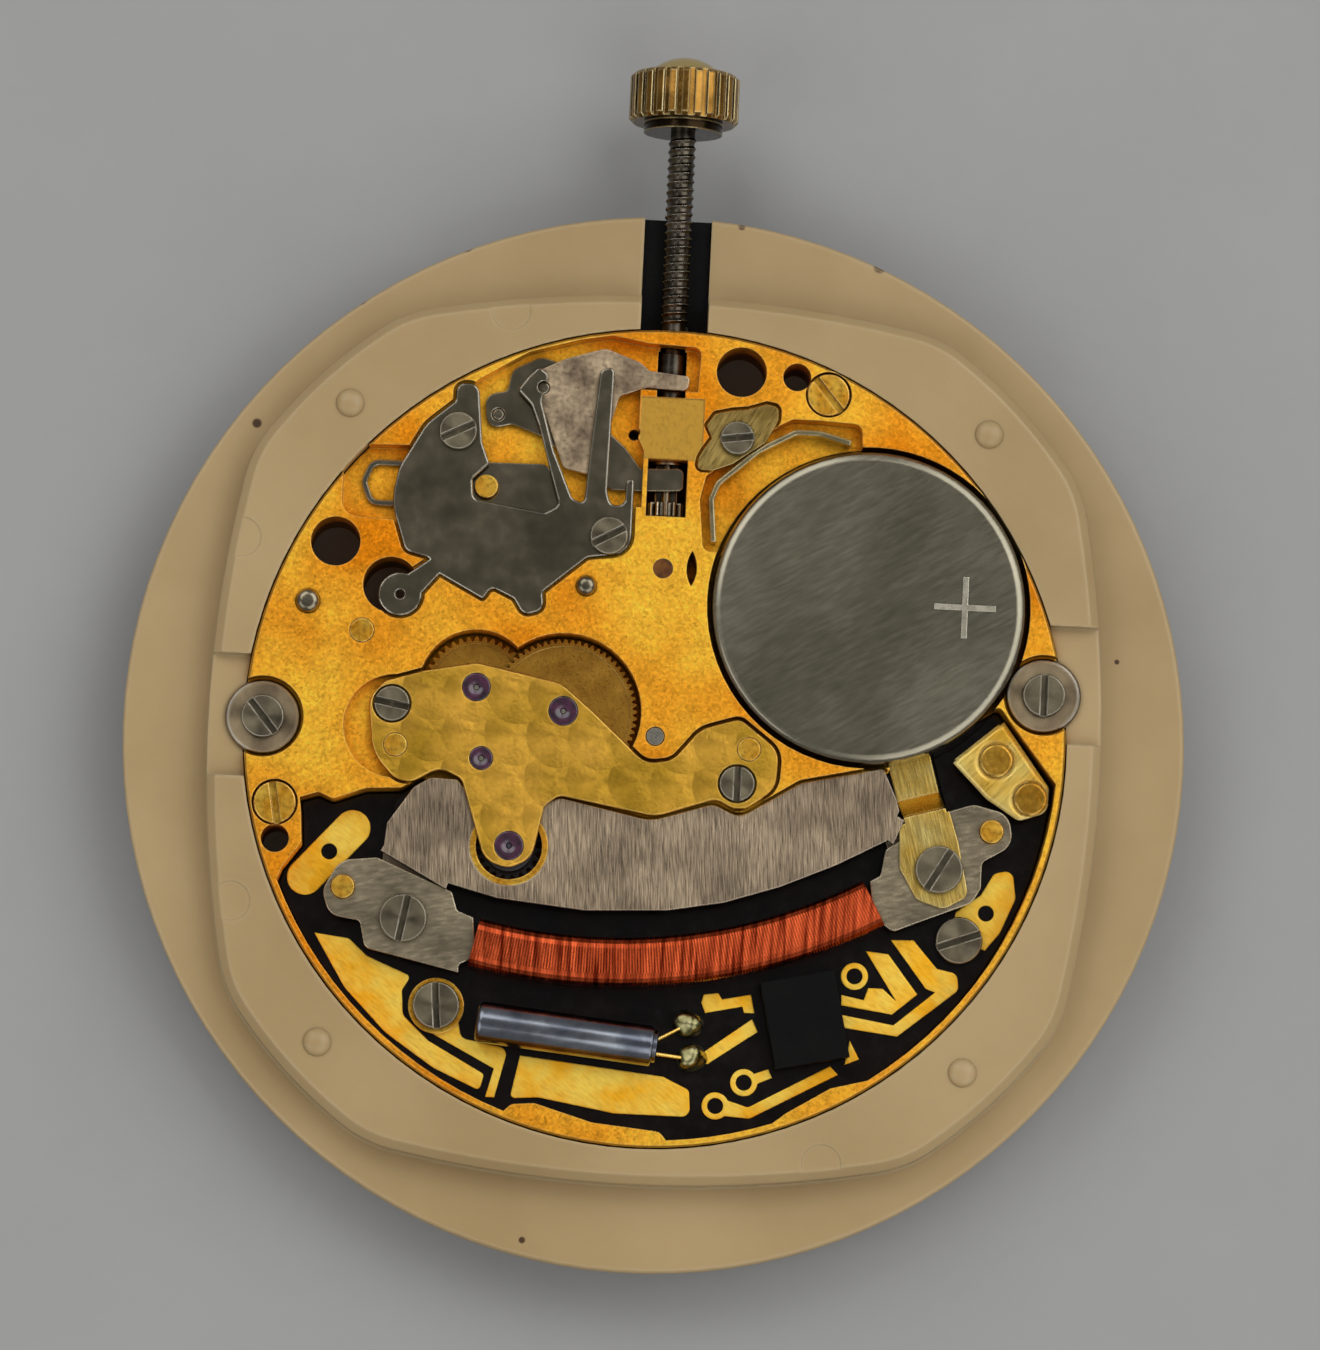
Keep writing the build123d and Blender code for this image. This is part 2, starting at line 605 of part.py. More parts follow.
def block(middle, size, low, high, turn=0):
    """Upright block between two levels, turned about its middle."""
    return Pos(middle[0], middle[1], low) * Rot(0, 0, turn) * Box(size[0], size[1], high - low, align=UPRIGHT)


def rounded_face(corner_shares):
    """Flat outline with rounded corners, from rows of x, y and corner radius as shares of the plate's radius."""
    rows = [[value * plate_radius for value in row] for row in corner_shares]
    stops = []
    for index, (x, y, radius) in enumerate(rows):
        corner = Vector(x, y)
        back = Vector(*rows[index - 1][:2]) - corner
        ahead = Vector(*rows[(index + 1) % len(rows)][:2]) - corner
        half = math.radians(back.get_angle(ahead)) / 2
        if radius == 0:
            stops.append((corner, None, corner))
            continue
        reach = min(radius / math.tan(half), corner_reach_share * min(back.length, ahead.length))
        fitted = reach * math.tan(half)
        inward = (back.normalized() + ahead.normalized()).normalized()
        middle = corner + inward * (fitted / math.sin(half) - fitted)
        stops.append((corner + back.normalized() * reach, middle, corner + ahead.normalized() * reach))
    edges = []
    for index, (start, middle, end) in enumerate(stops):
        edges.append(Line(stops[index - 1][2], start))
        if middle is not None:
            edges.append(ThreePointArc(start, middle, end))
    return make_face(Curve() + edges)


def prism(corner_shares, low, high, grow=0):
    """Solid of an outline between two levels, its outline grown by a clearance."""
    face = rounded_face(corner_shares)
    if grow:
        face = offset(face, amount=grow, kind=Kind.INTERSECTION)
    return Pos(0, 0, low) * extrude(face, amount=high - low, dir=(0, 0, 1))


def gear(middle, teeth, pitch, low, high, phase=0):
    """Toothed disc with straight-sided teeth, one of them standing at the phase angle."""
    module = 2 * pitch / teeth
    tip = pitch + addendum_share * module
    root = pitch - dedendum_share * module
    step = 360 / teeth
    form = ((root, -tooth_root_share), (tip, -tooth_tip_share), (tip, tooth_tip_share), (root, tooth_root_share))
    points = []
    for tooth in range(teeth):
        for radius, turn_share in form:
            angle = math.radians(phase + (tooth + turn_share) * step)
            points.append((middle[0] + radius * math.cos(angle), middle[1] + radius * math.sin(angle)))
    return Pos(0, 0, low) * extrude(make_face(Polyline(*points, close=True)), amount=high - low, dir=(0, 0, 1))


def meshed_phase(driver, driver_teeth, driver_phase, driven, driven_teeth):
    """Phase at which the driven gear has a gap where the driver has a tooth."""
    direction = math.degrees(math.atan2(driven[1] - driver[1], driven[0] - driver[0]))
    ahead = (driver_phase - direction) % (360 / driver_teeth)
    return direction + 180 - ahead * driver_teeth / driven_teeth - 180 / driven_teeth


def band(start, middle, end, width, low, high):
    """Arc-shaped bar of even width through three points."""
    arc = ThreePointArc(start, middle, end)
    return Pos(0, 0, low) * extrude(trace(arc, line_width=width), amount=high - low, dir=(0, 0, 1))


def strip(point_shares, width, low, high, corner):
    """Upright strip of even thickness along a line with rounded corners."""
    points = [place(share) for share in point_shares]
    path = FilletPolyline(*points, radius=corner)
    return Pos(0, 0, low) * extrude(trace(path, line_width=width), amount=high - low, dir=(0, 0, 1))


def along_stem(solid):
    """Turns a solid built along Z to lie along the stem, its height becoming the place along the stem."""
    return Pos(0, 0, stem_level) * Rot(-90, 0, 0) * solid


def turned(middle, outline):
    """Solid turned about an upright axis from its half outline of radii and levels."""
    face = make_face(Plane.XZ * Polyline(*outline, close=True))
    return Pos(middle[0], middle[1], 0) * revolve(face, Axis.Z)


def rim_points(radius, level, size, start_turn):
    """Quarter turn of a rounded rim in straight steps; the level is that of the rounding's middle."""
    rows = []
    for step in range(rim_steps + 1):
        angle = math.radians(start_turn + 90 * step / rim_steps)
        rows.append((radius - size + size * math.cos(angle), level + size * math.sin(angle)))
    return rows


def bar(start, end, width, low, high):
    """Straight bar between two points."""
    middle = ((start[0] + end[0]) / 2, (start[1] + end[1]) / 2)
    turn = math.degrees(math.atan2(end[1] - start[1], end[0] - start[0]))
    return block(middle, (span(start, end), width), low, high, turn)


def rod(start, end, radius):
    """Round rod on the stem's axis."""
    return along_stem(disc(centre, radius, start, end))


class Screw:
    """A slotted screw: its place, the level that its head seats on, and its sizes."""

    def __init__(self, share, turn, seat, head_radius, head_height):
        self.place = place(share)
        self.turn = turn
        self.seat = seat
        self.head_radius = head_radius
        self.top = seat + head_height

    def solid(self):
        head = disc(self.place, self.head_radius, self.seat, self.top)
        head = chamfer(head.edges().group_by(Axis.Z)[-1], screw_edge_chamfer)
        slot_size = (2 * self.head_radius + overrun, slot_width)
        head -= block(self.place, slot_size, self.top - slot_depth, self.top + overrun, self.turn)
        return head + disc(self.place, shank_radius, shank_floor, self.seat)

    def space(self):
        """Room for the screw with its clearances."""
        shank = disc(self.place, shank_radius + thread_gap, shank_floor - thread_gap, self.top)
        return shank + disc(self.place, self.head_radius + seat_gap, self.seat, plate_height + overrun)


def screw_row(shares, turns, seats, head_radius, head_height):
    """Screws of one size."""
    return [Screw(s, t, seat, head_radius, head_height) for s, t, seat in zip(shares, turns, seats)]


screws = {
    "jumper_screws": screw_row(
        jumper_screw_shares, jumper_slot_turns, [jumper_top] * 2, jumper_head_radius, jumper_head_height),
    "bridge_screws": screw_row(
        bridge_screw_shares, bridge_slot_turns, [bridge_top + bridge_head_rise - bridge_head_height] * 2,
        bridge_head_radius, bridge_head_height),
    "coil_screws": screw_row(
        coil_screw_shares, coil_slot_turns, [core_top, contact_foot_top], coil_head_radius, coil_head_height),
    "circuit_screws": screw_row(
        circuit_screw_shares, circuit_slot_turns, [track_top + collar_height, track_top],
        circuit_head_radius, circuit_head_height),
    "battery_clamp_screw": screw_row(
        [clamp_screw_share], [clamp_slot_turn], [clamp_top], clamp_head_radius, clamp_head_height),
    "dial_foot_screws": screw_row(
        foot_screw_shares, foot_slot_turns, [plate_height - foot_head_drop - foot_head_height] * 2,
        foot_head_radius, foot_head_height),
    "casing_screws": screw_row(
        casing_screw_shares, casing_slot_turns, [ring_notch_floor + washer_height] * 2,
        casing_head_radius, casing_head_height),
}


class Pin:
    """An upright pin: its place, radius and levels, and the height of its domed end."""

    def __init__(self, share, radius, low, high, dome_height=0):
        self.place = place(share)
        self.radius = radius
        self.low = low
        self.high = high
        self.dome_height = dome_height

    def solid(self):
        body = disc(self.place, self.radius, self.low, self.high)
        if self.dome_height:
            body += dome(self.place, self.radius, self.high, self.dome_height)
        return body

    def space(self):
        return disc(self.place, self.radius + thread_gap, self.low, self.high + overrun)


pins = {
    "gilt_pins": [
        *[Pin(s, bridge_pin_radius, train_floor, bridge_top + pin_rise) for s in bridge_pin_shares],
        Pin(jumper_pin_share, jumper_pin_radius, train_floor, jumper_low + pin_rise),
        *[Pin(s, coil_pin_radius, board_top, core_top + coil_pin_rise) for s in coil_pin_shares],
        Pin(flush_pin_share, steel_pin_radii[1], train_floor, plate_height + pin_rise),
    ],
    "steel_pins": [
        Pin(s, r, plate_height - steel_pin_depth, plate_height + steel_pin_rise, steel_pin_dome)
        for s, r in zip(steel_pin_shares, steel_pin_radii)
    ],
    "keyless_pins": [
        Pin(lever_pivot_share, lever_pin_radius, stem_level, lever_top),
        Pin(yoke_pivot_share, lever_pin_radius, stem_level, yoke_top),
    ],
}


def with_fastener_room(body):
    """Takes the room of every screw and pin that crosses a piece out of it."""
    box = body.bounding_box()
    for fastener in [item for group in [*screws.values(), *pins.values()] for item in group]:
        x, y = fastener.place
        if box.min.X < x < box.max.X and box.min.Y < y < box.max.Y:
            body -= fastener.space()
    return body


def cell_space():
    """Room round the button cell, open to the top."""
    return disc(cell_place, cell_radius + cell_gap, cell_low, plate_height + overrun)


def contact_space(low):
    """Room round the part of the negative contact that dips under the cell."""
    middle = place(contact_middle_share)
    width = contact_width + 2 * recess_gap
    length = tongue_length + ramp_run + 2 * recess_gap
    shift = Pos(0, (tongue_length - ramp_run) / 2, low)
    room = Box(width, length, plate_height + overrun - low, align=UPRIGHT)
    return Pos(middle[0], middle[1], 0) * Rot(0, 0, contact_turn) * shift * room


def cushion(half_width, corner_radius, low, high):
    """Raised body of the ring: a disc cut by four wide side arcs."""
    body = disc(centre, corner_radius, low, high)
    away = ring_side_arc - half_width
    for middle in ((-away, 0), (away, 0), (0, -away), (0, away)):
        body &= disc(middle, ring_side_arc, low, high)
    return body


def casing_ring():
    flange = disc(centre, ring_radius, 0, ring_flange_height)
    flange = chamfer(flange.edges().filter_by(GeomType.CIRCLE), plate_edge_chamfer)
    body = cushion(ring_half_width, ring_corner_radius, ring_flange_height / 2, ring_height)
    body = fillet(body.edges().filter_by(Axis.Z), ring_corner_blend)
    body = chamfer(body.edges().group_by(Axis.Z)[-1], ring_edge_chamfer)
    ring = flange + body - disc(centre, ring_bore, 0, ring_height)
    top = ring_height + overrun
    for side, (low_share, high_share) in ((-1, ring_notch_left_shares), (1, ring_notch_right_shares)):
        low = low_share * plate_radius
        high = high_share * plate_radius
        notch_size = (ring_radius, high - low)
        ring -= block((side * ring_radius, (low + high) / 2), notch_size, ring_notch_floor, top)
    slot_middle = (0, (ring_bore + ring_radius) / 2)
    ring -= block(slot_middle, (ring_slot_width, ring_radius - ring_bore + 2 * overrun), 0, top)
    pip_reach = (ring_corner_radius + ring_bore) / 2
    for turn in ring_pip_turns:
        x = pip_reach * math.cos(math.radians(turn))
        y = pip_reach * math.sin(math.radians(turn))
        pip = disc((x, y), ring_pip_radius, ring_height, ring_height + ring_pip_height)
        ring += chamfer(pip.edges().group_by(Axis.Z)[-1], ring_pip_chamfer)
    for share in ring_mark_shares:
        ring -= disc(place(share), ring_mark_radius, ring_height - ring_mark_depth, top)
    return ring


def stem_channel_strip():
    length = ring_radius - ring_bore - plate_edge_chamfer
    return block((0, ring_bore + length / 2), (ring_slot_width, length), 0, strip_height)


def train_recess():
    """Pocket that the going train turns in."""
    top = plate_height + overrun
    room = disc(second_place, second_pitch + recess_room, train_floor, top)
    room += disc(third_place, third_pitch + recess_room, train_floor, top)
    room += disc(intermediate_place, intermediate_pitch + recess_room, train_floor, top)
    return room + disc(rotor_place, rotor_recess_radius, train_floor, top)


def circuit_well(grow, low, high):
    """Room of the circuit, or the circuit board's outline when it is drawn in."""
    rim = disc(centre, plate_radius - well_rim_wall + grow, low, high)
    return prism(well_outline_shares, low, high, grow) & rim


def bearing_bosses(radius_gap, high):
    """Bosses of the plate that carry the lower jewels inside the circuit's well."""
    boss = disc(rotor_place, rotor_jewel_radius + boss_wall + radius_gap, well_floor, high)
    return boss + disc(intermediate_place, intermediate_jewel_radius + boss_wall + radius_gap, well_floor, high)


def cover_outline(grow, low, high):
    """Cover over the motion works, a disc over each wheel with ears for its screws."""
    body = disc(centre, hour_pitch + cover_centre_wall + grow, low, high)
    body += disc(minute_place, minute_pitch + cover_centre_wall / 2 + grow, low, high)
    body += disc(setting_place, setting_pitch + cover_centre_wall / 2 + grow, low, high)
    body += disc(third_place, cover_third_radius + grow, low, high)
    links = [(centre, minute_place), (minute_place, setting_place), (centre, third_place)]
    for share, hub in zip(cover_ear_shares, (centre, minute_place, setting_place)):
        body += disc(place(share), cover_ear_radius + grow, low, high)
        links.append((hub, place(share)))
    for start, end in links:
        body += bar(start, end, 2 * (cover_ear_radius + grow), low, high)
    return body


def motion_recess():
    """Pockets on the dial side for the cover and the wheels under it."""
    room = cover_outline(seat_gap, -overrun, cover_thickness)
    room += disc(centre, hour_pitch + centre_recess_room, 0, minute_pocket_top)
    room += disc(centre, centre_pitch + centre_recess_room, 0, centre_pocket_top)
    room += disc(minute_place, minute_pitch + centre_recess_room, 0, minute_pocket_top)
    room += disc(setting_place, setting_pitch + centre_recess_room, 0, setting_wheel_top + motion_gap)
    room += disc(third_place, third_passage_radius, 0, train_floor)
    return room


def stem_tunnel():
    """Bores for the stem and the clutch, with the two windows over them."""
    room = rod(stem_pilot_start - overrun, clutch_bore_start, stem_pilot_radius + running_gap)
    room += rod(clutch_bore_start, clutch_bore_end, clutch_radius + seat_gap)
    room += rod(clutch_bore_end, plate_radius + overrun, stem_radius + seat_gap)
    top = plate_height + overrun
    lower_size = (2 * window_half_width, clutch_groove_end - clutch_start + 2 * recess_gap)
    lower_middle = (0, (clutch_groove_end + clutch_start) / 2)
    upper_size = (2 * stem_radius, crown_travel + 2 * window_reach)
    room += block(lower_middle, lower_size, stem_level, top)
    room += block(place(stem_panel_share), stem_panel_size, plate_height - stem_panel_depth, top)
    return room + block((0, stem_groove_place + crown_travel / 2), upper_size, stem_level, top)


def lens_slot():
    """Slot of two arcs beside the cell."""
    half_width, half_length = lens_slot_size[0] / 2, lens_slot_size[1] / 2
    arc_radius = (half_length**2 + half_width**2) / (2 * half_width)
    x, y = place(lens_slot_share)
    top = plate_height + overrun
    away = arc_radius - half_width
    return disc((x - away, y), arc_radius, train_floor, top) & disc((x + away, y), arc_radius, train_floor, top)


def main_plate():
    body = disc(centre, plate_radius, 0, plate_height)
    body = chamfer(body.edges().filter_by(GeomType.CIRCLE), plate_edge_chamfer)
    top = plate_height + overrun
    body -= train_recess()
    body -= circuit_well(0, well_floor, top) - bearing_bosses(0, train_floor)
    body -= prism(bridge_outline_shares, bridge_low, top, recess_gap)
    body -= disc(place(bridge_crescent_share), bridge_crescent_radius, bridge_low, top)
    body -= prism(stator_outline_shares, stator_low, top, recess_gap)
    body -= cell_space()
    body -= contact_space(tongue_top - contact_thickness - tongue_gap)
    body -= prism(spring_recess_shares, spring_floor, top)
    body -= prism(battery_clamp_shares, clamp_low, top, recess_gap)
    body -= prism(keyless_recess_shares, keyless_floor, top)
    body -= prism(jumper_outline_shares, jumper_low, top, recess_gap)
    body -= prism(jumper_arm_shares, jumper_low, top, recess_gap)
    body -= disc(place(arm_disc_share), arm_disc_radius + recess_gap, jumper_low, top)
    body -= stem_tunnel()
    body -= motion_recess()
    for share, radius in zip(hole_shares, hole_radii):
        body -= disc(place(share), radius, -overrun, top)
    for share in dial_foot_hole_shares:
        body -= disc(place(share), dial_foot_hole_radius, -overrun, top)
    for share in casing_screw_shares:
        body -= disc(place(share), washer_radius + recess_gap, ring_notch_floor, top)
    body -= lens_slot()
    body -= disc(centre, centre_arbor_radius + running_gap, 0, top)
    for middle, radius in lower_jewels():
        body -= disc(middle, radius, 0, train_floor)
    body -= disc(setting_place, setting_arbor_radius + running_gap, 0, top)
    body -= disc(setting_place, setting_jewel_radius, plate_height - setting_jewel_thickness, top)
    for share in cover_ear_shares:
        body -= disc(place(share), shank_radius + thread_gap, 0, cover_screw_length)
    return with_fastener_room(body)


def lower_jewels():
    return [(rotor_place, rotor_jewel_radius), (intermediate_place, intermediate_jewel_radius),
            (second_place, second_jewel_radius)]


def upper_jewels():
    return [(rotor_place, rotor_jewel_radius), (intermediate_place, intermediate_jewel_radius),
            (second_place, second_jewel_radius), (third_place, third_jewel_radius)]


def jewel(middle, radius, low, high, cup_up=True):
    """Pierced jewel with an oil cup on its outer face."""
    body = tube(middle, radius, pivot_radius + running_gap, low, high)
    if cup_up:
        cup = Cone(pivot_radius, jewel_cup_radius, jewel_cup_depth, align=UPRIGHT)
        return body - Pos(middle[0], middle[1], high - jewel_cup_depth) * cup
    cup = Cone(jewel_cup_radius, pivot_radius, jewel_cup_depth, align=UPRIGHT)
    return body - Pos(middle[0], middle[1], low) * cup


def bridge_jewels():
    rotor_low = bridge_top - finger_thickness
    rows = [jewel(middle, radius, bridge_top - jewel_thickness, bridge_top)
            for middle, radius in upper_jewels()[1:]]
    return Compound(children=[jewel(rotor_place, rotor_jewel_radius, rotor_low, bridge_top), *rows])


def plate_jewels():
    low = train_floor - jewel_thickness
    return Compound(children=[jewel(middle, radius, low, train_floor, False) for middle, radius in lower_jewels()])


def setting_jewel():
    return disc(setting_place, setting_jewel_radius, plate_height - setting_jewel_thickness, plate_height)


def train_bridge():
    body = prism(bridge_outline_shares, bridge_low, bridge_top)
    body -= prism(finger_zone_shares, bridge_low - overrun, bridge_top - finger_thickness)
    body = chamfer(body.edges().group_by(Axis.Z)[-1], screw_edge_chamfer)
    for middle, radius in upper_jewels():
        body -= disc(middle, radius, bridge_low, bridge_top)
    return with_fastener_room(body) - cell_space()


def train_wheel(middle, wheel, pinion, low_pivot, high_pivot):
    """Wheel and pinion on one arbor; each is teeth, pitch radius, level, height and phase."""
    body = gear(middle, wheel[0], wheel[1], wheel[2], wheel[2] + wheel[3], wheel[4])
    web_radius = wheel[1] - web_rim
    body -= disc(middle, web_radius, wheel[2] + wheel[3] - web_depth, wheel[2] + wheel[3])
    body += gear(middle, pinion[0], pinion[1], pinion[2], pinion[2] + pinion[3], pinion[4])
    shoulder_low = low_pivot + jewel_thickness + running_gap
    shoulder_high = high_pivot - jewel_thickness - running_gap
    body += disc(middle, arbor_radius, shoulder_low, shoulder_high)
    return body + disc(middle, pivot_radius, low_pivot, high_pivot)


def rotor():
    pinion_top = rotor_pinion_level + pinion_height
    magnet_top = rotor_magnet_level + rotor_magnet_height
    body = gear(rotor_place, rotor_teeth, rotor_pitch, rotor_pinion_level, pinion_top)
    body += disc(rotor_place, rotor_magnet_radius, rotor_magnet_level, magnet_top)
    body += disc(rotor_place, arbor_radius, train_floor + running_gap, magnet_top)
    return body + disc(rotor_place, pivot_radius, train_floor - jewel_thickness + jewel_cup_depth,
                       bridge_top - jewel_cup_depth)


def rotor_sleeve():
    return tube(rotor_place, sleeve_radius, sleeve_radius - sleeve_wall, sleeve_low, stator_top)


intermediate_phase = meshed_phase(rotor_place, rotor_teeth, 0, intermediate_place, intermediate_teeth)
second_phase = meshed_phase(intermediate_place, intermediate_pinion_teeth, 0, second_place, second_teeth)
third_phase = meshed_phase(second_place, second_pinion_teeth, 0, third_place, third_teeth)
centre_phase = meshed_phase(third_place, third_pinion_teeth, 0, centre, centre_teeth)
minute_phase = meshed_phase(centre, cannon_teeth, 0, minute_place, minute_teeth)
hour_phase = meshed_phase(minute_place, minute_pinion_teeth, 0, centre, hour_teeth)
setting_phase = meshed_phase(minute_place, minute_teeth, minute_phase, setting_place, setting_teeth)
low_pivot_level = train_floor - jewel_thickness + jewel_cup_depth
high_pivot_level = bridge_top - jewel_cup_depth


def intermediate_wheel():
    wheel = (intermediate_teeth, intermediate_pitch, intermediate_level, wheel_thickness, intermediate_phase)
    level = intermediate_level + wheel_thickness
    pinion = (intermediate_pinion_teeth, intermediate_pinion_pitch, level, pinion_height + web_depth, 0)
    return train_wheel(intermediate_place, wheel, pinion, low_pivot_level, high_pivot_level)


def second_wheel():
    wheel = (second_teeth, second_pitch, second_level, wheel_thickness, second_phase)
    level = second_level + wheel_thickness
    pinion = (second_pinion_teeth, second_pinion_pitch, level, pinion_height, 0)
    return train_wheel(second_place, wheel, pinion, low_pivot_level, high_pivot_level)


def third_wheel():
    wheel = (third_teeth, third_pitch, third_level, wheel_thickness, third_phase)
    pinion_low = centre_wheel_level - motion_gap
    pinion = (third_pinion_teeth, third_pinion_pitch, pinion_low, centre_pocket_top - pinion_low, 0)
    return train_wheel(third_place, wheel, pinion, jewel_cup_depth, high_pivot_level)


def centre_wheel():
    """Centre wheel on its arbor: the upper end shows in the plate, the lower end carries the cannon pinion."""
    top = centre_wheel_level + wheel_thickness
    body = gear(centre, centre_teeth, centre_pitch, centre_wheel_level, top, centre_phase)
    body += disc(centre, centre_arbor_radius, centre_wheel_level, plate_height - pin_rise)
    return body + disc(centre, centre_post_radius, -cannon_pipe_length - pin_rise, centre_wheel_level)


def cannon_pinion():
    toothed = gear(centre, cannon_teeth, cannon_pitch, minute_level, minute_level + cannon_tooth_height)
    seat_top = minute_hand_seat_length - cannon_pipe_length
    pipe = disc(centre, cannon_pipe_radius, seat_top, centre_wheel_level)
    pipe += disc(centre, minute_hand_seat_radius, -cannon_pipe_length, seat_top)
    return toothed + pipe - disc(centre, centre_post_radius, -cannon_pipe_length, centre_wheel_level)


def minute_wheel():
    disc_top = minute_level + cannon_tooth_height
    body = gear(minute_place, minute_teeth, minute_pitch, minute_level, disc_top, minute_phase)
    body += gear(minute_place, minute_pinion_teeth, minute_pinion_pitch, hour_level, minute_level)
    return body - disc(minute_place, minute_post_radius + running_gap, 0, disc_top)


def minute_post():
    return disc(minute_place, minute_post_radius, cover_thickness, minute_pocket_top)


def hour_wheel():
    top = hour_level + hour_wheel_thickness
    body = gear(centre, hour_teeth, hour_pitch, hour_level, top, hour_phase)
    body += disc(centre, hour_hub_radius, 0, top)
    body += disc(centre, hour_pipe_radius, -hour_pipe_length, 0)
    return body - disc(centre, cannon_pipe_radius + running_gap, -hour_pipe_length, top)


def setting_wheel():
    body = gear(setting_place, setting_teeth, setting_pitch, minute_level, setting_wheel_top, setting_phase)
    return body + disc(setting_place, setting_arbor_radius, cover_thickness + motion_gap, setting_arbor_top)


def motion_cover():
    body = cover_outline(0, 0, cover_thickness)
    body -= disc(centre, hour_hub_radius + 2 * running_gap, 0, cover_thickness)
    for share in cover_ear_shares:
        body -= disc(place(share), shank_radius + thread_gap, 0, cover_thickness)
        body -= disc(place(share), cover_screw_radius + thread_gap, 0, cover_screw_head)
    return body - disc(third_place, third_jewel_radius, 0, cover_thickness)


def cover_jewel():
    return jewel(third_place, third_jewel_radius, 0, cover_thickness, False)


def cover_screws():
    rows = []
    for share in cover_ear_shares:
        head = disc(place(share), cover_screw_radius, 0, cover_screw_head)
        slot_size = (2 * cover_screw_radius + overrun, slot_width)
        head -= block(place(share), slot_size, -overrun, cover_screw_head / 2, cover_slot_turn)
        rows.append(head + disc(place(share), shank_radius, cover_screw_head, cover_screw_length))
    return Compound(children=rows)


def stator():
    sheet = prism(stator_outline_shares, stator_low, stator_top)
    for fold_shares, foot_shares in ((stator_left_fold_shares, stator_left_foot_shares),
                                     (stator_right_fold_shares, stator_right_foot_shares)):
        sheet += prism(fold_shares, stator_foot_low, stator_top)
        sheet += prism(foot_shares, stator_foot_low, core_low)
    sheet -= disc(rotor_place, sleeve_radius, stator_low, stator_top)
    for tab_shares in (core_left_shares, core_right_shares):
        sheet -= prism(tab_shares, core_low, stator_top, thread_gap)
    return with_fastener_room(sheet) - contact_space(stator_foot_low - overrun)


def coil_points():
    return place(coil_left_share), place(coil_middle_share), place(coil_right_share)


def coil_core():
    body = prism(core_left_shares, core_low, core_top) + prism(core_right_shares, core_low, core_top)
    return with_fastener_room(body + band(*coil_points(), core_band_width, core_low, core_top))


def coil_winding():
    low = coil_level - coil_height / 2
    body = band(*coil_points(), coil_width, low, low + coil_height)
    long_edges = [edge for edge in body.edges() if edge.length > coil_width * 2]
    body = chamfer(long_edges, coil_edge_chamfer)
    for tab_shares in (core_left_shares, core_right_shares):
        body -= prism(tab_shares, core_low, core_top, coil_end_gap)
    return body - band(*coil_points(), core_band_width, core_low, core_top)


def circuit_board():
    body = circuit_well(-seat_gap, well_floor, board_top)
    for share in board_post_shares:
        body += disc(place(share), post_radius, well_floor, stator_low)
    for share in coil_screw_shares:
        body += disc(place(share), post_radius, well_floor, stator_foot_low)
    for share in coil_pin_shares:
        body += disc(place(share), post_radius, well_floor, core_low)
    body -= bearing_bosses(seat_gap, plate_height)
    body -= disc(intermediate_place, intermediate_pitch + recess_room, well_floor, plate_height)
    body -= disc(rotor_place, rotor_recess_radius, well_floor, plate_height)
    body -= contact_space(tongue_top - contact_thickness - tongue_gap)
    return with_fastener_room(body) - cell_space()


def pad_plate():
    """Rounded pad at the left, between two end circles."""
    start, end = (place(share) for share in left_pad_shares)
    body = disc(start, left_pad_radius, board_top, track_top) + disc(end, left_pad_radius, board_top, track_top)
    return body + bar(start, end, 2 * left_pad_radius, board_top, track_top)


def circuit_tracks():
    body = pad_plate()
    for outline_shares in track_outline_shares:
        body += prism(outline_shares, board_top, track_top)
    for share in ring_pad_shares:
        body += disc(place(share), ring_pad_radius, board_top, track_top)
    for share in pad_hole_shares:
        body -= disc(place(share), pad_hole_radius, board_top, track_top)
    return with_fastener_room(body)


def circuit_chip():
    return block(place(chip_share), chip_size, track_top, track_top + chip_height, chip_turn)


def lying(start, end, level, solid_of_length):
    """Lays a solid built along Z from one point to another at a level."""
    turn = math.degrees(math.atan2(end[1] - start[1], end[0] - start[0]))
    return Pos(start[0], start[1], level) * Rot(0, 0, turn) * Rot(0, 90, 0) * solid_of_length


def crystal_can():
    start = place(crystal_left_share)
    end = place(crystal_right_share)
    length = span(start, end)
    base_radius = crystal_radius - crystal_edge_radius
    outline = [(0, 0), *rim_points(crystal_radius, crystal_edge_radius, crystal_edge_radius, -90),
               (crystal_radius, length), (base_radius, length), (base_radius, length + crystal_base_length),
               (0, length + crystal_base_length)]
    can = turned(centre, outline)
    return lying(start, end, track_top + crystal_radius, can)


def lead_start(side):
    """Where a lead leaves the crystal can's base."""
    start = place(crystal_left_share)
    end = place(crystal_right_share)
    length = span(start, end)
    along = ((end[0] - start[0]) / length, (end[1] - start[1]) / length)
    reach = length + crystal_base_length
    return (start[0] + along[0] * reach - side * along[1] * lead_spread,
            start[1] + along[1] * reach + side * along[0] * lead_spread)


def crystal_leads():
    rows = []
    level = track_top + crystal_radius
    for side, share in zip((1, -1), solder_shares):
        start = lead_start(side)
        end = place(share)
        drop = level - track_top - solder_radius / 2
        path = Line((start[0], start[1], level), (end[0], end[1], level - drop))
        rows.append(sweep(Plane(path @ 0, z_dir=path % 0) * Circle(lead_radius), path))
    return Compound(children=rows)


def lead_solder():
    """Solder domes over the leads' ends."""
    outline = [(0, track_top), *rim_points(solder_radius, track_top, solder_radius, 0)]
    return Compound(children=[turned(place(share), outline) - crystal_leads() for share in solder_shares])


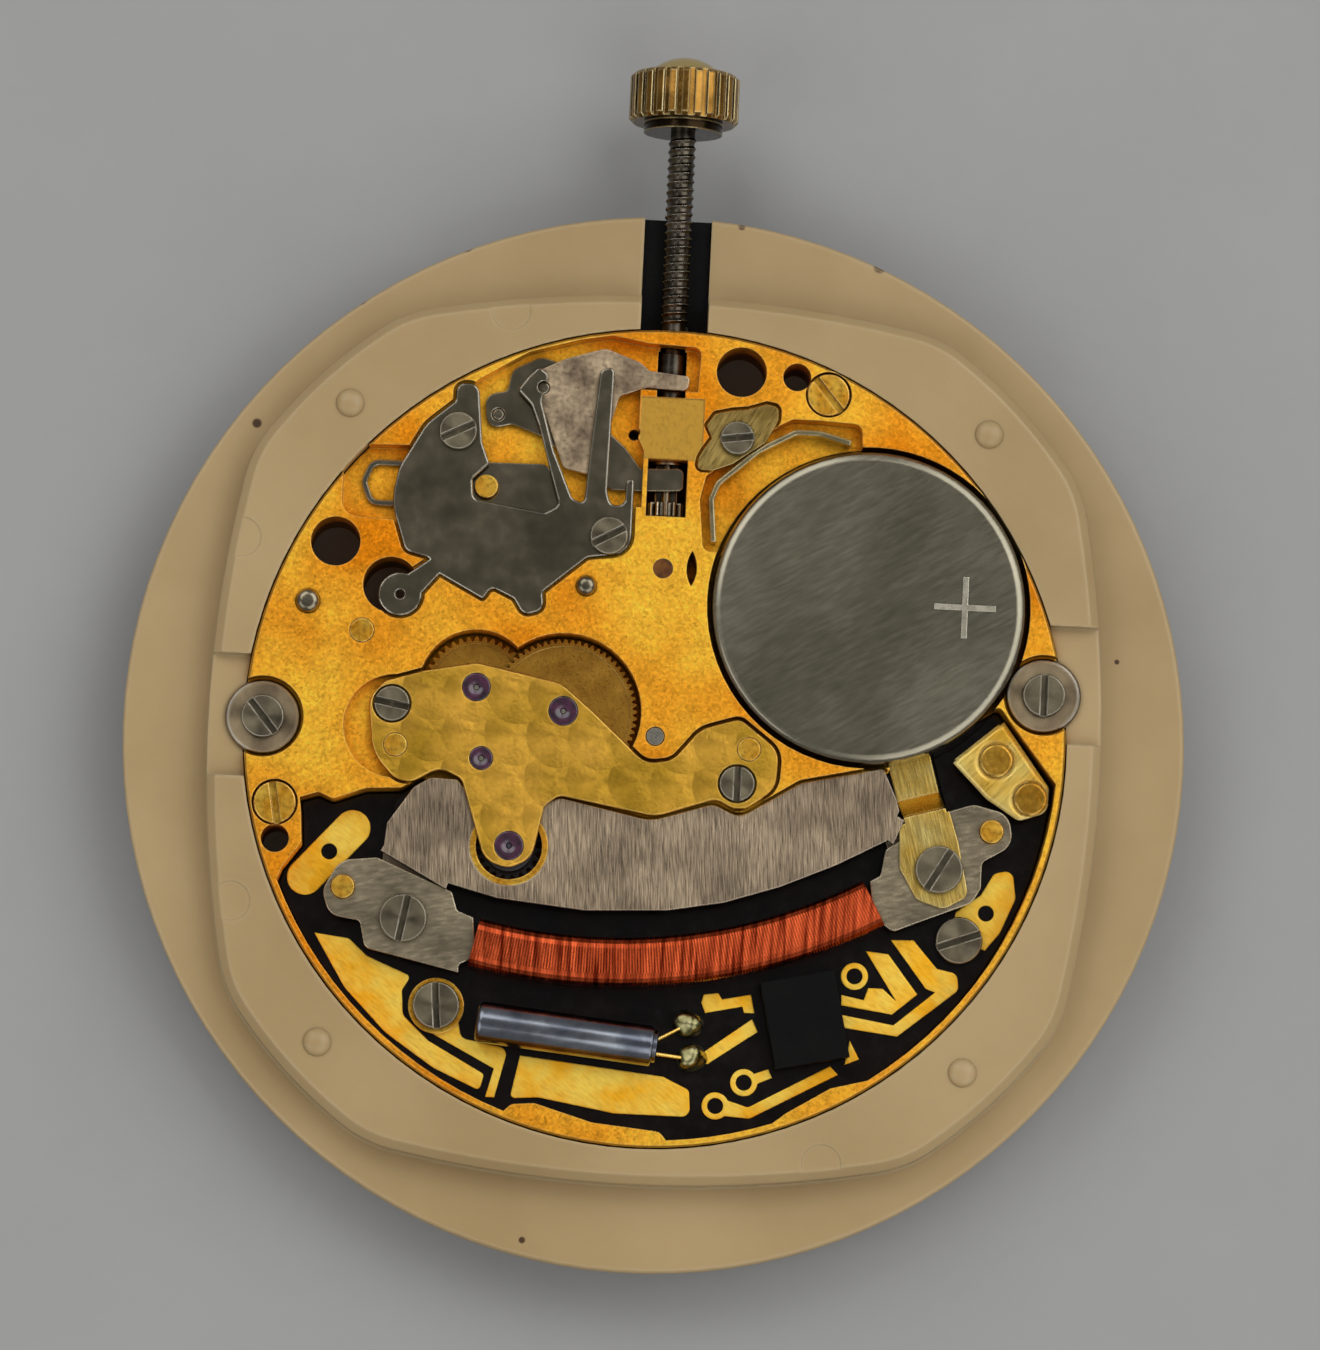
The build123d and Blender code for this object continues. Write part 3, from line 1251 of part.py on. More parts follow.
def cell_can():
    low = cell_low + can_lift
    outline = [(0, low), *rim_points(cell_radius, low + cell_low_edge_radius, cell_low_edge_radius, -90),
               *rim_points(cell_radius, cell_top - cell_edge_radius, cell_edge_radius, 0), (0, cell_top)]
    body = turned(cell_place, outline)
    return body - disc(cell_place, cap_radius + gasket_wall, cell_low, cell_low + cap_height)


def cell_gasket():
    return tube(cell_place, cap_radius + gasket_wall, cap_radius, cell_low + can_lift, cell_low + cap_height)


def cell_cap():
    outline = [(0, cell_low), *rim_points(cap_radius, cell_low + cap_edge_radius, cap_edge_radius, -90),
               (cap_radius, cell_low + cap_height), (0, cell_low + cap_height)]
    return turned(cell_place, outline)


def battery_clamp():
    return with_fastener_room(prism(battery_clamp_shares, clamp_low, clamp_top))


def battery_spring():
    top = plate_height - spring_drop
    body = strip(battery_spring_shares, spring_thickness, spring_floor, top, spring_thickness * 2)
    return body - prism(battery_clamp_shares, clamp_low, clamp_top, seat_gap)


def contact_profile():
    """Side outline of the negative contact: tongue, ramp and foot, along the strip and up."""
    low = tongue_top - contact_thickness
    foot = core_top
    points = [(tongue_length, low), (0, low), (-ramp_run, foot), (-ramp_run - ramp_overlap, foot),
              (-ramp_run - ramp_overlap, foot + contact_thickness), (-ramp_run - contact_thickness / 2,
              foot + contact_thickness), (-contact_thickness / 2, tongue_top), (tongue_length, tongue_top)]
    return make_face(Polyline(*points, close=True))


def negative_contact():
    middle = place(contact_middle_share)
    side = Plane(origin=(-contact_width / 2, 0, 0), x_dir=(0, 1, 0), z_dir=(1, 0, 0))
    bent = extrude(side * contact_profile(), amount=contact_width)
    body = Pos(middle[0], middle[1], 0) * Rot(0, 0, contact_turn) * bent
    body += prism(contact_foot_shares, core_top, contact_foot_top)
    return with_fastener_room(body)


def contact_rivet_row(gap):
    """Rivets of the contact block, grown by a clearance."""
    return [disc(place(share), rivet_radius + gap, track_top, block_top + rivet_rise) for share in rivet_shares]


def positive_contact():
    body = prism(contact_block_shares, block_top - block_thickness, block_top)
    skirt_size = (skirt_length, block_thickness)
    body += block(place(skirt_share), skirt_size, block_top - skirt_height, block_top, skirt_turn)
    for rivet in contact_rivet_row(0):
        body -= rivet
    return body


def contact_rivets():
    rim = disc(centre, plate_radius - well_rim_wall, 0, plate_height)
    return Compound(children=[rivet & rim for rivet in contact_rivet_row(0)])


def setting_jumper():
    body = prism(jumper_outline_shares, jumper_low, jumper_top)
    body += prism(jumper_arm_shares, jumper_low, jumper_top)
    body += disc(place(arm_disc_share), arm_disc_radius, jumper_low, jumper_top)
    body = chamfer(body.edges().group_by(Axis.Z)[-1], jumper_edge_chamfer)
    body -= disc(place(arm_disc_share), arm_hole_radius, jumper_low, jumper_top)
    return with_fastener_room(body)


def setting_lever():
    body = prism(lever_outline_shares, lever_low, lever_top)
    peg_low = stem_level + stem_groove_radius + running_gap
    body += disc((0, stem_groove_place), lever_peg_radius, peg_low, lever_low)
    return body - disc(lever_pivot, lever_pin_radius + running_gap, lever_low, lever_top)


def yoke():
    body = prism(yoke_outline_shares, yoke_low, yoke_top)
    body -= disc(yoke_pivot, lever_pin_radius + running_gap, yoke_low, yoke_top)
    return body - disc(lever_pivot, lever_pin_radius + yoke_pin_room, yoke_low, yoke_top)


def yoke_spring():
    top = keyless_floor + yoke_thickness
    body = prism(yoke_spring_plate_shares, keyless_floor, top)
    body += strip(yoke_spring_loop_shares, yoke_spring_width, keyless_floor, top, yoke_spring_width * 2)
    return with_fastener_room(body)


def sliding_pinion():
    body = rod(clutch_groove_start, clutch_groove_end, clutch_groove_radius)
    body += rod(clutch_groove_end, clutch_end, clutch_radius)
    toothed = gear(centre, clutch_teeth, clutch_radius * clutch_teeth / (clutch_teeth + 2 * addendum_share),
                   clutch_start, clutch_groove_start)
    body += along_stem(toothed)
    bore = Box(stem_square + 2 * running_gap, stem_square + 2 * running_gap, clutch_end, align=UPRIGHT)
    return body - along_stem(bore)


def stem():
    groove_start = stem_groove_place - stem_groove_width / 2
    groove_end = groove_start + stem_groove_width
    square_length = stem_square_end - stem_square_start
    body = rod(stem_pilot_start, stem_square_start, stem_pilot_radius)
    square = Box(stem_square, stem_square, square_length, align=UPRIGHT)
    body += along_stem(Pos(0, 0, stem_square_start) * square)
    body += rod(stem_square_end, groove_start, stem_radius)
    body += rod(groove_start, groove_end, stem_groove_radius)
    body += rod(groove_end, stem_neck_start, stem_radius)
    body += rod(stem_neck_start, stem_thread_start, stem_neck_radius)
    return body + rod(stem_thread_start, crown_start + crown_skirt_length, stem_thread_radius)


def crown():
    band_start = crown_start + crown_skirt_length
    band_end = band_start + crown_band_length
    band_body = disc(centre, crown_radius, band_start, band_end)
    band_body = chamfer(band_body.edges().filter_by(GeomType.CIRCLE), crown_edge_chamfer)
    for flute in range(crown_flutes):
        turn = flute * 360 / crown_flutes
        angle = math.radians(turn)
        spot = (crown_radius * math.cos(angle), crown_radius * math.sin(angle))
        band_body -= block(spot, (2 * crown_flute_depth, crown_flute_width), band_start, band_end, turn)
    skirt = disc(centre, crown_skirt_radius, crown_start, band_start)
    body = band_body + dome(centre, crown_dome_radius, band_end, crown_dome_height) + skirt
    return along_stem(body - disc(centre, stem_thread_radius, crown_start, band_start))


def circuit_collar():
    middle = place(circuit_screw_shares[0])
    return tube(middle, collar_radius, shank_radius + thread_gap, track_top, track_top + collar_height)


def casing_washers():
    rows = []
    for share in casing_screw_shares:
        washer = disc(place(share), washer_radius, ring_notch_floor, ring_notch_floor + washer_height)
        washer = chamfer(washer.edges().group_by(Axis.Z)[-1], washer_edge_chamfer)
        rows.append(washer - disc(place(share), shank_radius + thread_gap, 0, plate_height))
    return Compound(children=rows)


def group(items):
    """Separate solids of one kind."""
    return Compound(children=[item.solid() for item in items])


pieces = {
    "casing_ring": casing_ring,
    "stem_channel_strip": stem_channel_strip,
    "main_plate": main_plate,
    "train_bridge": train_bridge,
    "bridge_jewels": bridge_jewels,
    "plate_jewels": plate_jewels,
    "setting_jewel": setting_jewel,
    "rotor": rotor,
    "rotor_sleeve": rotor_sleeve,
    "intermediate_wheel": intermediate_wheel,
    "second_wheel": second_wheel,
    "third_wheel": third_wheel,
    "centre_wheel": centre_wheel,
    "cannon_pinion": cannon_pinion,
    "minute_wheel": minute_wheel,
    "minute_post": minute_post,
    "hour_wheel": hour_wheel,
    "setting_wheel": setting_wheel,
    "motion_cover": motion_cover,
    "cover_jewel": cover_jewel,
    "cover_screws": cover_screws,
    "stator": stator,
    "coil_core": coil_core,
    "coil_winding": coil_winding,
    "circuit_board": circuit_board,
    "circuit_tracks": circuit_tracks,
    "circuit_chip": circuit_chip,
    "circuit_collar": circuit_collar,
    "crystal_can": crystal_can,
    "crystal_leads": crystal_leads,
    "lead_solder": lead_solder,
    "cell_can": cell_can,
    "cell_gasket": cell_gasket,
    "cell_cap": cell_cap,
    "battery_clamp": battery_clamp,
    "battery_spring": battery_spring,
    "negative_contact": negative_contact,
    "positive_contact": positive_contact,
    "contact_rivets": contact_rivets,
    "setting_jumper": setting_jumper,
    "setting_lever": setting_lever,
    "yoke": yoke,
    "yoke_spring": yoke_spring,
    "sliding_pinion": sliding_pinion,
    "stem": stem,
    "crown": crown,
    "casing_washers": casing_washers,
}

os.makedirs("parts", exist_ok=True)
for name, build in pieces.items():
    export_step(build(), f"parts/{name}.step")
for name, row in {**screws, **pins}.items():
    export_step(group(row), f"parts/{name}.step")
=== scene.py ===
import bmesh
import bpy
import math
from mathutils import Matrix, Vector, noise


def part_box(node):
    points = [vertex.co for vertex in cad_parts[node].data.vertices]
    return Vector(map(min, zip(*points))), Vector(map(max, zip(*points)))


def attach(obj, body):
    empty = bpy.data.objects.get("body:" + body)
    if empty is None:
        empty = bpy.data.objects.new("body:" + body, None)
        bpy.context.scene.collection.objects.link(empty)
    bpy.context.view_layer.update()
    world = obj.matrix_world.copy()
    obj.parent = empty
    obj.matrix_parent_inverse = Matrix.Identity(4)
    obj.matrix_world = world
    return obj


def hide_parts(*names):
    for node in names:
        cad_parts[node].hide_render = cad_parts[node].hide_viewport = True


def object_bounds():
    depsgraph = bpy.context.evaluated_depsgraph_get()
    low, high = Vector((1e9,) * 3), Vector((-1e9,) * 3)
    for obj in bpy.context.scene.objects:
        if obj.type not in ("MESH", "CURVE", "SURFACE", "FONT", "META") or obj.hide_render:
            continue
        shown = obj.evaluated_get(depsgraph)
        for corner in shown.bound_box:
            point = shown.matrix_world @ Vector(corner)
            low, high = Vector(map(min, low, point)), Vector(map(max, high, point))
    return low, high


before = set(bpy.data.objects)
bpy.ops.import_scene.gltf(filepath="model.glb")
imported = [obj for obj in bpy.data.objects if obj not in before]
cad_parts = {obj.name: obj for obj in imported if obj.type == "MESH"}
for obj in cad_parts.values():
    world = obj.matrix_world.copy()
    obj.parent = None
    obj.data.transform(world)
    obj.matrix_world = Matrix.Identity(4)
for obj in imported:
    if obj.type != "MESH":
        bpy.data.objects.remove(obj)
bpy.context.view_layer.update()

MM = 0.001

# The movement's own sizes in millimetres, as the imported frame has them
plate_radius = 10.28
plate_height = 2.10
# Coil: pitch of its wire, groove between two turns, section
pitch_of_wire = 0.07
groove_depth = 0.016
coil_width = 1.25
coil_height = 0.90
coil_edge_radius = 0.30
coil_level = 1.61
# Middle line of the coil, as shares of the plate's radius
coil_shares = [(-0.415, -0.520), (0.067, -0.540), (0.549, -0.378)]
# Thread of the stem: places along the stem, radii, and half its width as a share of its pitch
thread_pitch = 0.21
thread_start = 10.35
thread_end = 15.50
thread_crest = 0.36
thread_root = 0.29
thread_share = 0.47
thread_steps = 18
# Crown: where its flutes and its dome start along the stem, and how far the tones blend there
crown_band_start = 15.70
crown_dome_start = 16.95
crown_blend = 0.05
dome_blend = 0.02
# Plus sign of the cell
sign_length = 1.55
sign_width = 0.15
sign_height = 0.03
sign_rounding = 0.009
sign_place = (7.60, 3.60, 2.24)
# Lumps of solder: places with radius, and the size of their unevenness
solder_places = [(1.18, -7.09, 0.36), (1.29, -7.93, 0.36)]
solder_ripple = 0.40
# How a lump differs from a ball: its foot's spread, its depth, height and lift as shares, and how they vary
solder_spread, solder_spread_change = 0.45, 0.28
solder_depth, solder_height, solder_height_change = 0.9, 0.75, 0.3
solder_lift = 0.3
# Casing ring and its four pips
ring_height = 2.05
pip_reach = 11.37
pip_radius = 0.36
pip_height = 0.17
pip_sink = 0.01
# Levels over the dial seat
stem_level = 1.25
panel_level = 2.07
panel_tolerance = 0.012
pocket_floor = 0.95
pocket_top = 1.38
flange_level = 1.00
track_level = 1.05
# Jewels of the bridge and steel pins of the plate, with their places as shares of the plate's radius
jewel_shares = [(-0.342, -0.283), (-0.420, -0.073), (-0.440, 0.100), (-0.226, 0.052)]
jewel_radii = (0.37, 0.30, 0.36, 0.375)
jewel_height = 0.25
jewel_cup_radius = 0.20
jewel_cup_depth = 0.03
jewel_rounding = 0.04
jewel_cup_rounding = 0.05
jewel_hole_radius = 0.08
pin_shares = [(-0.185, 0.360), (-0.860, 0.290)]
pin_radii = (0.25, 0.30)
pin_height = 0.90
pin_rounding = 0.17
# Can of the crystal, with its ends as shares of the plate's radius
can_radius = 0.52
can_rounding = 0.14
can_base_radius = 0.42
can_base_length = 0.10
can_end_rounding = 0.05
can_shares = [(-0.400, -0.710), (0.030, -0.750)]
# Screws and washers that were turned on a lathe: pitch of their fine rings, and places as shares of the plate's
# radius
ring_pitch = 0.06
turned_shares = {
    "jumper_screws": [(-0.515, 0.725), (-0.135, 0.485)],
    "bridge_screws": [(-0.643, 0.050), (0.205, -0.105)],
    "coil_screws": [(-0.590, -0.470), (0.705, -0.290)],
    "circuit_screws": [(-0.500, -0.675), (0.765, -0.455)],
    "battery_clamp_screw": [(0.167, 0.742)],
    "casing_screws": [(-0.955, 0.003), (0.942, 0.147)],
    "casing_washers": [(-0.955, 0.003), (0.942, 0.147)],
}
# Dirt specks on the casing ring: place and radius, and how far their dark core and their soft rim reach
speck_core, speck_rim = 0.7, 1.1
speck_places = [(-5.32, 12.33, 0.15), (-7.91, 10.83, 0.12), (5.15, 12.34, 0.17), (1.61, 13.20, 0.10),
                (-10.39, 7.56, 0.13), (-2.71, -12.67, 0.09), (11.56, 2.57, 0.07)]
# The floor touches the lowest point of the movement
floor_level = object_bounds()[0][2]
# Steps of a turned outline, and the angle in degrees above which an edge of it stays sharp
turned_steps = 48
sharp_angle = 40
# Where the values of a noise mostly lie: for a pattern's tones, and for its shine
tone_span = (0.35, 0.65)
noise_span = (0.30, 0.70)
# An edge gets its painted highlight where its rounding leans this far, and a hollow within the reach gets its
# painted shade while it is this open or less
highlight_span = (0.80, 0.985)
shade_reach = 0.25
shade_span = (0.15, 0.80)


def linear(colour):
    """Linear colour of an sRGB hex value."""
    parts = [int(colour[i:i + 2], 16) / 255 for i in (1, 3, 5)]
    return [p / 12.92 if p <= 0.04045 else ((p + 0.055) / 1.055) ** 2.4 for p in parts] + [1.0]


def add(tree, kind, settings=None, **links):
    """A node with its settings and its links: each link is a node and the name of its output, and a, b and c
    are the first, second and third socket."""
    made = tree.nodes.new(kind)
    for key, value in (settings or {}).items():
        if isinstance(key, int) or key in made.inputs:
            made.inputs[key].default_value = value
        else:
            setattr(made, key, value)
    for key, (source, output) in links.items():
        socket = "abc".index(key) if key in "abc" else key.replace("_", " ")
        tree.links.new(source.outputs[output], made.inputs[socket])
    return made


def start_material(name):
    """An empty material with its shader and its place on the object."""
    material = bpy.data.materials.new(name)
    material.use_nodes = True
    tree = material.node_tree
    return material, tree, tree.nodes["Principled BSDF"], add(tree, "ShaderNodeTexCoord")


def per(*sizes):
    """Pattern scale along each axis for features of these sizes in millimetres."""
    return [1000 / size for size in (sizes * 3 if len(sizes) == 1 else sizes)]


def grain(tree, place, sizes, detail=3.0, turn=0.0):
    """Noise whose features have these sizes in millimetres, turned by an angle in degrees."""
    rotation = {"Rotation": (0, 0, math.radians(turn))}
    aligned = add(tree, "ShaderNodeMapping", rotation, Vector=(place, "Object"))
    sized = add(tree, "ShaderNodeMapping", {"Scale": per(*sizes)}, Vector=(aligned, "Vector"))
    return add(tree, "ShaderNodeTexNoise", {"Scale": 1.0, "Detail": detail}, Vector=(sized, "Vector")), "Fac"


def two_tones(tree, mask, first, second):
    """Colour that goes from one tone to another with a mask."""
    ramp = add(tree, "ShaderNodeValToRGB", None, Fac=mask)
    for element, position, colour in zip(ramp.color_ramp.elements, tone_span, (first, second)):
        element.position = position
        element.color = linear(colour)
    return ramp, "Color"


def dimmed(tree, tone, amount):
    """A tone made darker or brighter by an amount at each point."""
    return add(tree, "ShaderNodeVectorMath", {"operation": "SCALE"}, a=tone, Scale=amount), "Vector"


def ranged(tree, mask, low, high, first=0.0, last=1.0):
    """A mask that goes from low to high while its source goes from first to last."""
    settings = {"From Min": first, "From Max": last, "To Min": low, "To Max": high}
    return add(tree, "ShaderNodeMapRange", settings, Value=mask), "Result"


def dress(made, tone, shine, height, relief, edge=0.05, edge_highlight=None, hollow_shade=0.75):
    """Joins tone, shine and relief to the shader. Outer edges are rounded over by the edge in millimetres, and
    can get a painted highlight in a brighter tone. Slots, gaps and inner corners get painted shade."""
    material, tree, shader = made[:3]
    rounded = add(tree, "ShaderNodeBevel", {"Radius": edge * MM, "samples": 4}), "Normal"
    # Painted highlight: outer edges, where the rounded normal leans off the true one, take a brighter tone
    if edge_highlight:
        facing = add(tree, "ShaderNodeVectorMath", {"operation": "DOT_PRODUCT"}, a=rounded,
                     b=(add(tree, "ShaderNodeNewGeometry"), "Normal"))
        highlit_edge = ranged(tree, (facing, "Value"), 1.0, 0.0, *highlight_span)
        tone = add(tree, "ShaderNodeMixRGB", {"Color2": linear(edge_highlight)}, Fac=highlit_edge, Color1=tone), "Color"
    # Painted shade: the tone darkens in slots, gaps and inner corners, the more closed in they are
    hollow = add(tree, "ShaderNodeAmbientOcclusion", {"Distance": shade_reach * MM, "samples": 6}), "AO"
    tone = dimmed(tree, tone, ranged(tree, hollow, 1.0 - hollow_shade, 1.0, *shade_span))
    bump = {"Strength": 1.0, "Distance": relief * MM}
    bump = add(tree, "ShaderNodeBump", bump, Height=height, Normal=rounded)
    tree.links.new(tone[0].outputs[tone[1]], shader.inputs["Base Color"])
    tree.links.new(shine[0].outputs[shine[1]], shader.inputs["Roughness"])
    tree.links.new(bump.outputs["Normal"], shader.inputs["Normal"])
    return material


def metal(name, dark, light, patch, grit, rough, relief, turn=0.0, edge=0.05, edge_highlight=None, hollow_shade=0.75,
          glint=0.06):
    """A metal with drifting tone, and a grain that glints, breaks up its shine and stands up by the relief in
    millimetres."""
    made = start_material(name)
    tree, shader, place = made[1:]
    fine = grain(tree, place, grit, turn=turn)
    tone = two_tones(tree, grain(tree, place, patch, detail=4.0), dark, light)
    tone = dimmed(tree, tone, ranged(tree, fine, 1.0 - glint, 1.0 + glint, *noise_span))
    shader.inputs["Metallic"].default_value = 1.0
    return dress(made, tone, ranged(tree, fine, *rough, *noise_span), fine, relief, edge, edge_highlight, hollow_shade)


def plastic(name, dark, light, patch, grit, rough, relief, edge=0.05, gloss=0.5, hollow_shade=0.6):
    """A plastic or lacquer with drifting tone and a fine moulded grain."""
    made = start_material(name)
    tree, shader, place = made[1:]
    fine = grain(tree, place, grit)
    tone = two_tones(tree, grain(tree, place, patch, detail=4.0), dark, light)
    shader.inputs["Specular IOR Level"].default_value = gloss
    return dress(made, tone, ranged(tree, fine, *rough, *noise_span), fine, relief, edge, None, hollow_shade)


def pearled_gilt():
    """Gilt brass of the bridge, pearled: round spots stamped row by row, each over the last. The rings of a
    spot are too fine to show, and fan the light out from its middle."""
    step, reach = 1.05, 0.80
    made = start_material("gilt_brass_pearled")
    tree, shader, place = made[1:]
    rows = {"Scale": per(step), "Location": (0.3, 0.1, 0)}
    steps = add(tree, "ShaderNodeMapping", rows, Vector=(place, "Object")), "Vector"
    corner = add(tree, "ShaderNodeVectorMath", {"operation": "FLOOR"}, a=steps), "Vector"
    spot, arm = corner, steps
    for offset in ((0, 0, 0), (1, 0, 0), (0, 1, 0), (1, 1, 0)):
        middle = add(tree, "ShaderNodeVectorMath", {"operation": "ADD", 1: offset}, a=corner), "Vector"
        apart = add(tree, "ShaderNodeVectorMath", {"operation": "SUBTRACT"}, a=steps, b=middle), "Vector"
        level = add(tree, "ShaderNodeVectorMath", {"operation": "MULTIPLY", 1: (1, 1, 0)}, a=apart), "Vector"
        length = add(tree, "ShaderNodeVectorMath", {"operation": "LENGTH"}, a=level), "Value"
        covered = add(tree, "ShaderNodeMath", {"operation": "LESS_THAN", 1: reach / step}, a=length), "Value"
        spot = add(tree, "ShaderNodeMixRGB", None, Fac=covered, Color1=spot, Color2=middle), "Color"
        arm = add(tree, "ShaderNodeMixRGB", None, Fac=covered, Color1=arm, Color2=level), "Color"
    around = add(tree, "ShaderNodeVectorMath", {"operation": "CROSS_PRODUCT", 1: (0, 0, 1)}, a=arm), "Vector"
    tree.links.new(around[0].outputs[around[1]], shader.inputs["Tangent"])
    away = add(tree, "ShaderNodeVectorMath", {"operation": "LENGTH"}, a=arm), "Value"
    chance = add(tree, "ShaderNodeTexWhiteNoise", None, Vector=spot), "Value"
    fine = grain(tree, place, (0.09,))
    tone = two_tones(tree, grain(tree, place, (1.8,)), "#CFA032", "#FFC24C")
    tone = dimmed(tree, dimmed(tree, tone, ranged(tree, chance, 0.90, 1.08)), ranged(tree, fine, 0.90, 1.10))
    # Painted shade: each spot darkens towards its rim, standing in for the crescents its fanned reflections
    # make
    tone = dimmed(tree, tone, ranged(tree, away, 1.04, 0.90, 0.25, reach / step))
    dish = add(tree, "ShaderNodeMath", {"operation": "MULTIPLY_ADD", 1: -1.6}, a=away, c=fine), "Value"
    shader.inputs["Metallic"].default_value = 1.0
    shader.inputs["Anisotropic"].default_value = 0.8
    # Outer edges get a painted highlight
    return dress(made, tone, ranged(tree, fine, 0.24, 0.38), dish, 0.006, edge_highlight="#FFE08A")


def frosted_gilt():
    """Gilt brass of the plate, blasted to a frost: cloudy orange gold with a fine sparkle. Deep pockets are
    darkened towards their floors by painted shade, except on faces that look down, and the milled panel under
    the stem was left smooth. Outer edges get a painted highlight."""
    made = start_material("gilt_brass_frosted")
    tree, shader, place = made[1:]
    tone = two_tones(tree, grain(tree, place, (3.4,), detail=2.0), "#E88A14", "#FFBF3A")
    tone = dimmed(tree, tone, ranged(tree, grain(tree, place, (0.5,), detail=4.0), 0.88, 1.12, *noise_span))
    frost = add(tree, "ShaderNodeMapping", {"Scale": per(0.06)}, Vector=(place, "Object"))
    facets = add(tree, "ShaderNodeTexVoronoi", {"Scale": 1.0}, Vector=(frost, "Vector"))
    split = add(tree, "ShaderNodeSeparateColor", None, Color=(facets, "Color"))
    tone = dimmed(tree, tone, ranged(tree, (split, "Red"), 0.80, 1.18))
    level = add(tree, "ShaderNodeSeparateXYZ", None, Vector=(place, "Object")), "Z"
    normal = add(tree, "ShaderNodeNewGeometry"), "Normal"
    facing = add(tree, "ShaderNodeSeparateXYZ", None, Vector=normal), "Z"
    # Painted shade: the tone darkens down into the pockets, but not on faces that look down
    pocket_shade = ranged(tree, level, 0.28, 1.0, pocket_floor * MM, pocket_top * MM)
    below = ranged(tree, facing, 1.0, 0.0, -0.9, -0.3)
    shaded = add(tree, "ShaderNodeMath", {"operation": "MAXIMUM"}, a=pocket_shade, b=below), "Value"
    tone = dimmed(tree, tone, shaded)
    panel = {"operation": "COMPARE", 1: panel_level * MM, 2: panel_tolerance * MM}
    smooth = add(tree, "ShaderNodeMath", panel, a=level), "Value"
    fine = grain(tree, place, (0.13,), detail=4.0)
    frosty = ranged(tree, smooth, 1.0, 0.15)
    rough = add(tree, "ShaderNodeMath", {"operation": "MULTIPLY"}, a=fine, b=frosty), "Value"
    tone = add(tree, "ShaderNodeMixRGB", {"Color2": linear("#C6993F")}, Fac=smooth, Color1=tone), "Color"
    shader.inputs["Metallic"].default_value = 1.0
    return dress(made, tone, ranged(tree, (split, "Green"), 0.36, 0.54), rough, 0.009, edge_highlight="#FFD67A")


def cream_plastic():
    """Moulded cream acetal gone tan with age: a soft sheen, specks of old grime pressed into it, a painted
    highlight on its outer edges and a faint painted shade in its hollows.
    """
    made = start_material("acetal_moulded_aged")
    tree, shader, place = made[1:]
    fine = grain(tree, place, (0.25,), detail=4.0)
    tone = two_tones(tree, grain(tree, place, (6.0,), detail=5.0), "#A88E62", "#B69C70")
    for x, y, radius in speck_places:
        speck = {"operation": "DISTANCE", 1: Vector((x, y, flange_level)) * MM}
        apart = add(tree, "ShaderNodeVectorMath", speck, a=(place, "Object")), "Value"
        blot = ranged(tree, apart, 1.0, 0.0, speck_core * radius * MM, speck_rim * radius * MM)
        tone = add(tree, "ShaderNodeMixRGB", {"Color2": linear("#4A3018")}, Fac=blot, Color1=tone), "Color"
    shader.inputs["Subsurface Weight"].default_value = 0.10
    shader.inputs["Subsurface Scale"].default_value = 0.4 * MM
    shine = ranged(tree, fine, 0.26, 0.40)
    return dress(made, tone, shine, fine, 0.004, edge=0.14, edge_highlight="#CFB98E", hollow_shade=0.35)


def wheel_brass(node, arbor_radius):
    """Cut brass of a wheel: satin, with a painted highlight on the edges of its teeth, painted shade in its
    hollows, and the polished steel end of its arbor inside.
    """
    made = start_material("brass_cut_" + node)
    tree, shader, place = made[1:]
    low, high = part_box(node)
    middle = (Vector(low) + Vector(high)) / 2
    apart = add(tree, "ShaderNodeVectorMath", {"operation": "SUBTRACT", 1: middle}, a=(place, "Object"))
    level = add(tree, "ShaderNodeVectorMath", {"operation": "MULTIPLY", 1: (1, 1, 0)}, a=(apart, "Vector"))
    away = add(tree, "ShaderNodeVectorMath", {"operation": "LENGTH"}, a=(level, "Vector")), "Value"
    arbor = add(tree, "ShaderNodeMath", {"operation": "LESS_THAN", 1: arbor_radius * MM}, a=away), "Value"
    fine = grain(tree, place, (0.05,))
    tone = two_tones(tree, grain(tree, place, (0.9,), detail=4.0), "#9C6E28", "#C1903A")
    tone = add(tree, "ShaderNodeMixRGB", {"Color2": linear("#8F8C80")}, Fac=arbor, Color1=tone), "Color"
    shader.inputs["Metallic"].default_value = 1.0
    shine = ranged(tree, fine, 0.26, 0.40, *noise_span)
    return dress(made, tone, shine, fine, 0.003, edge=0.03, edge_highlight="#FFD980", hollow_shade=0.9)


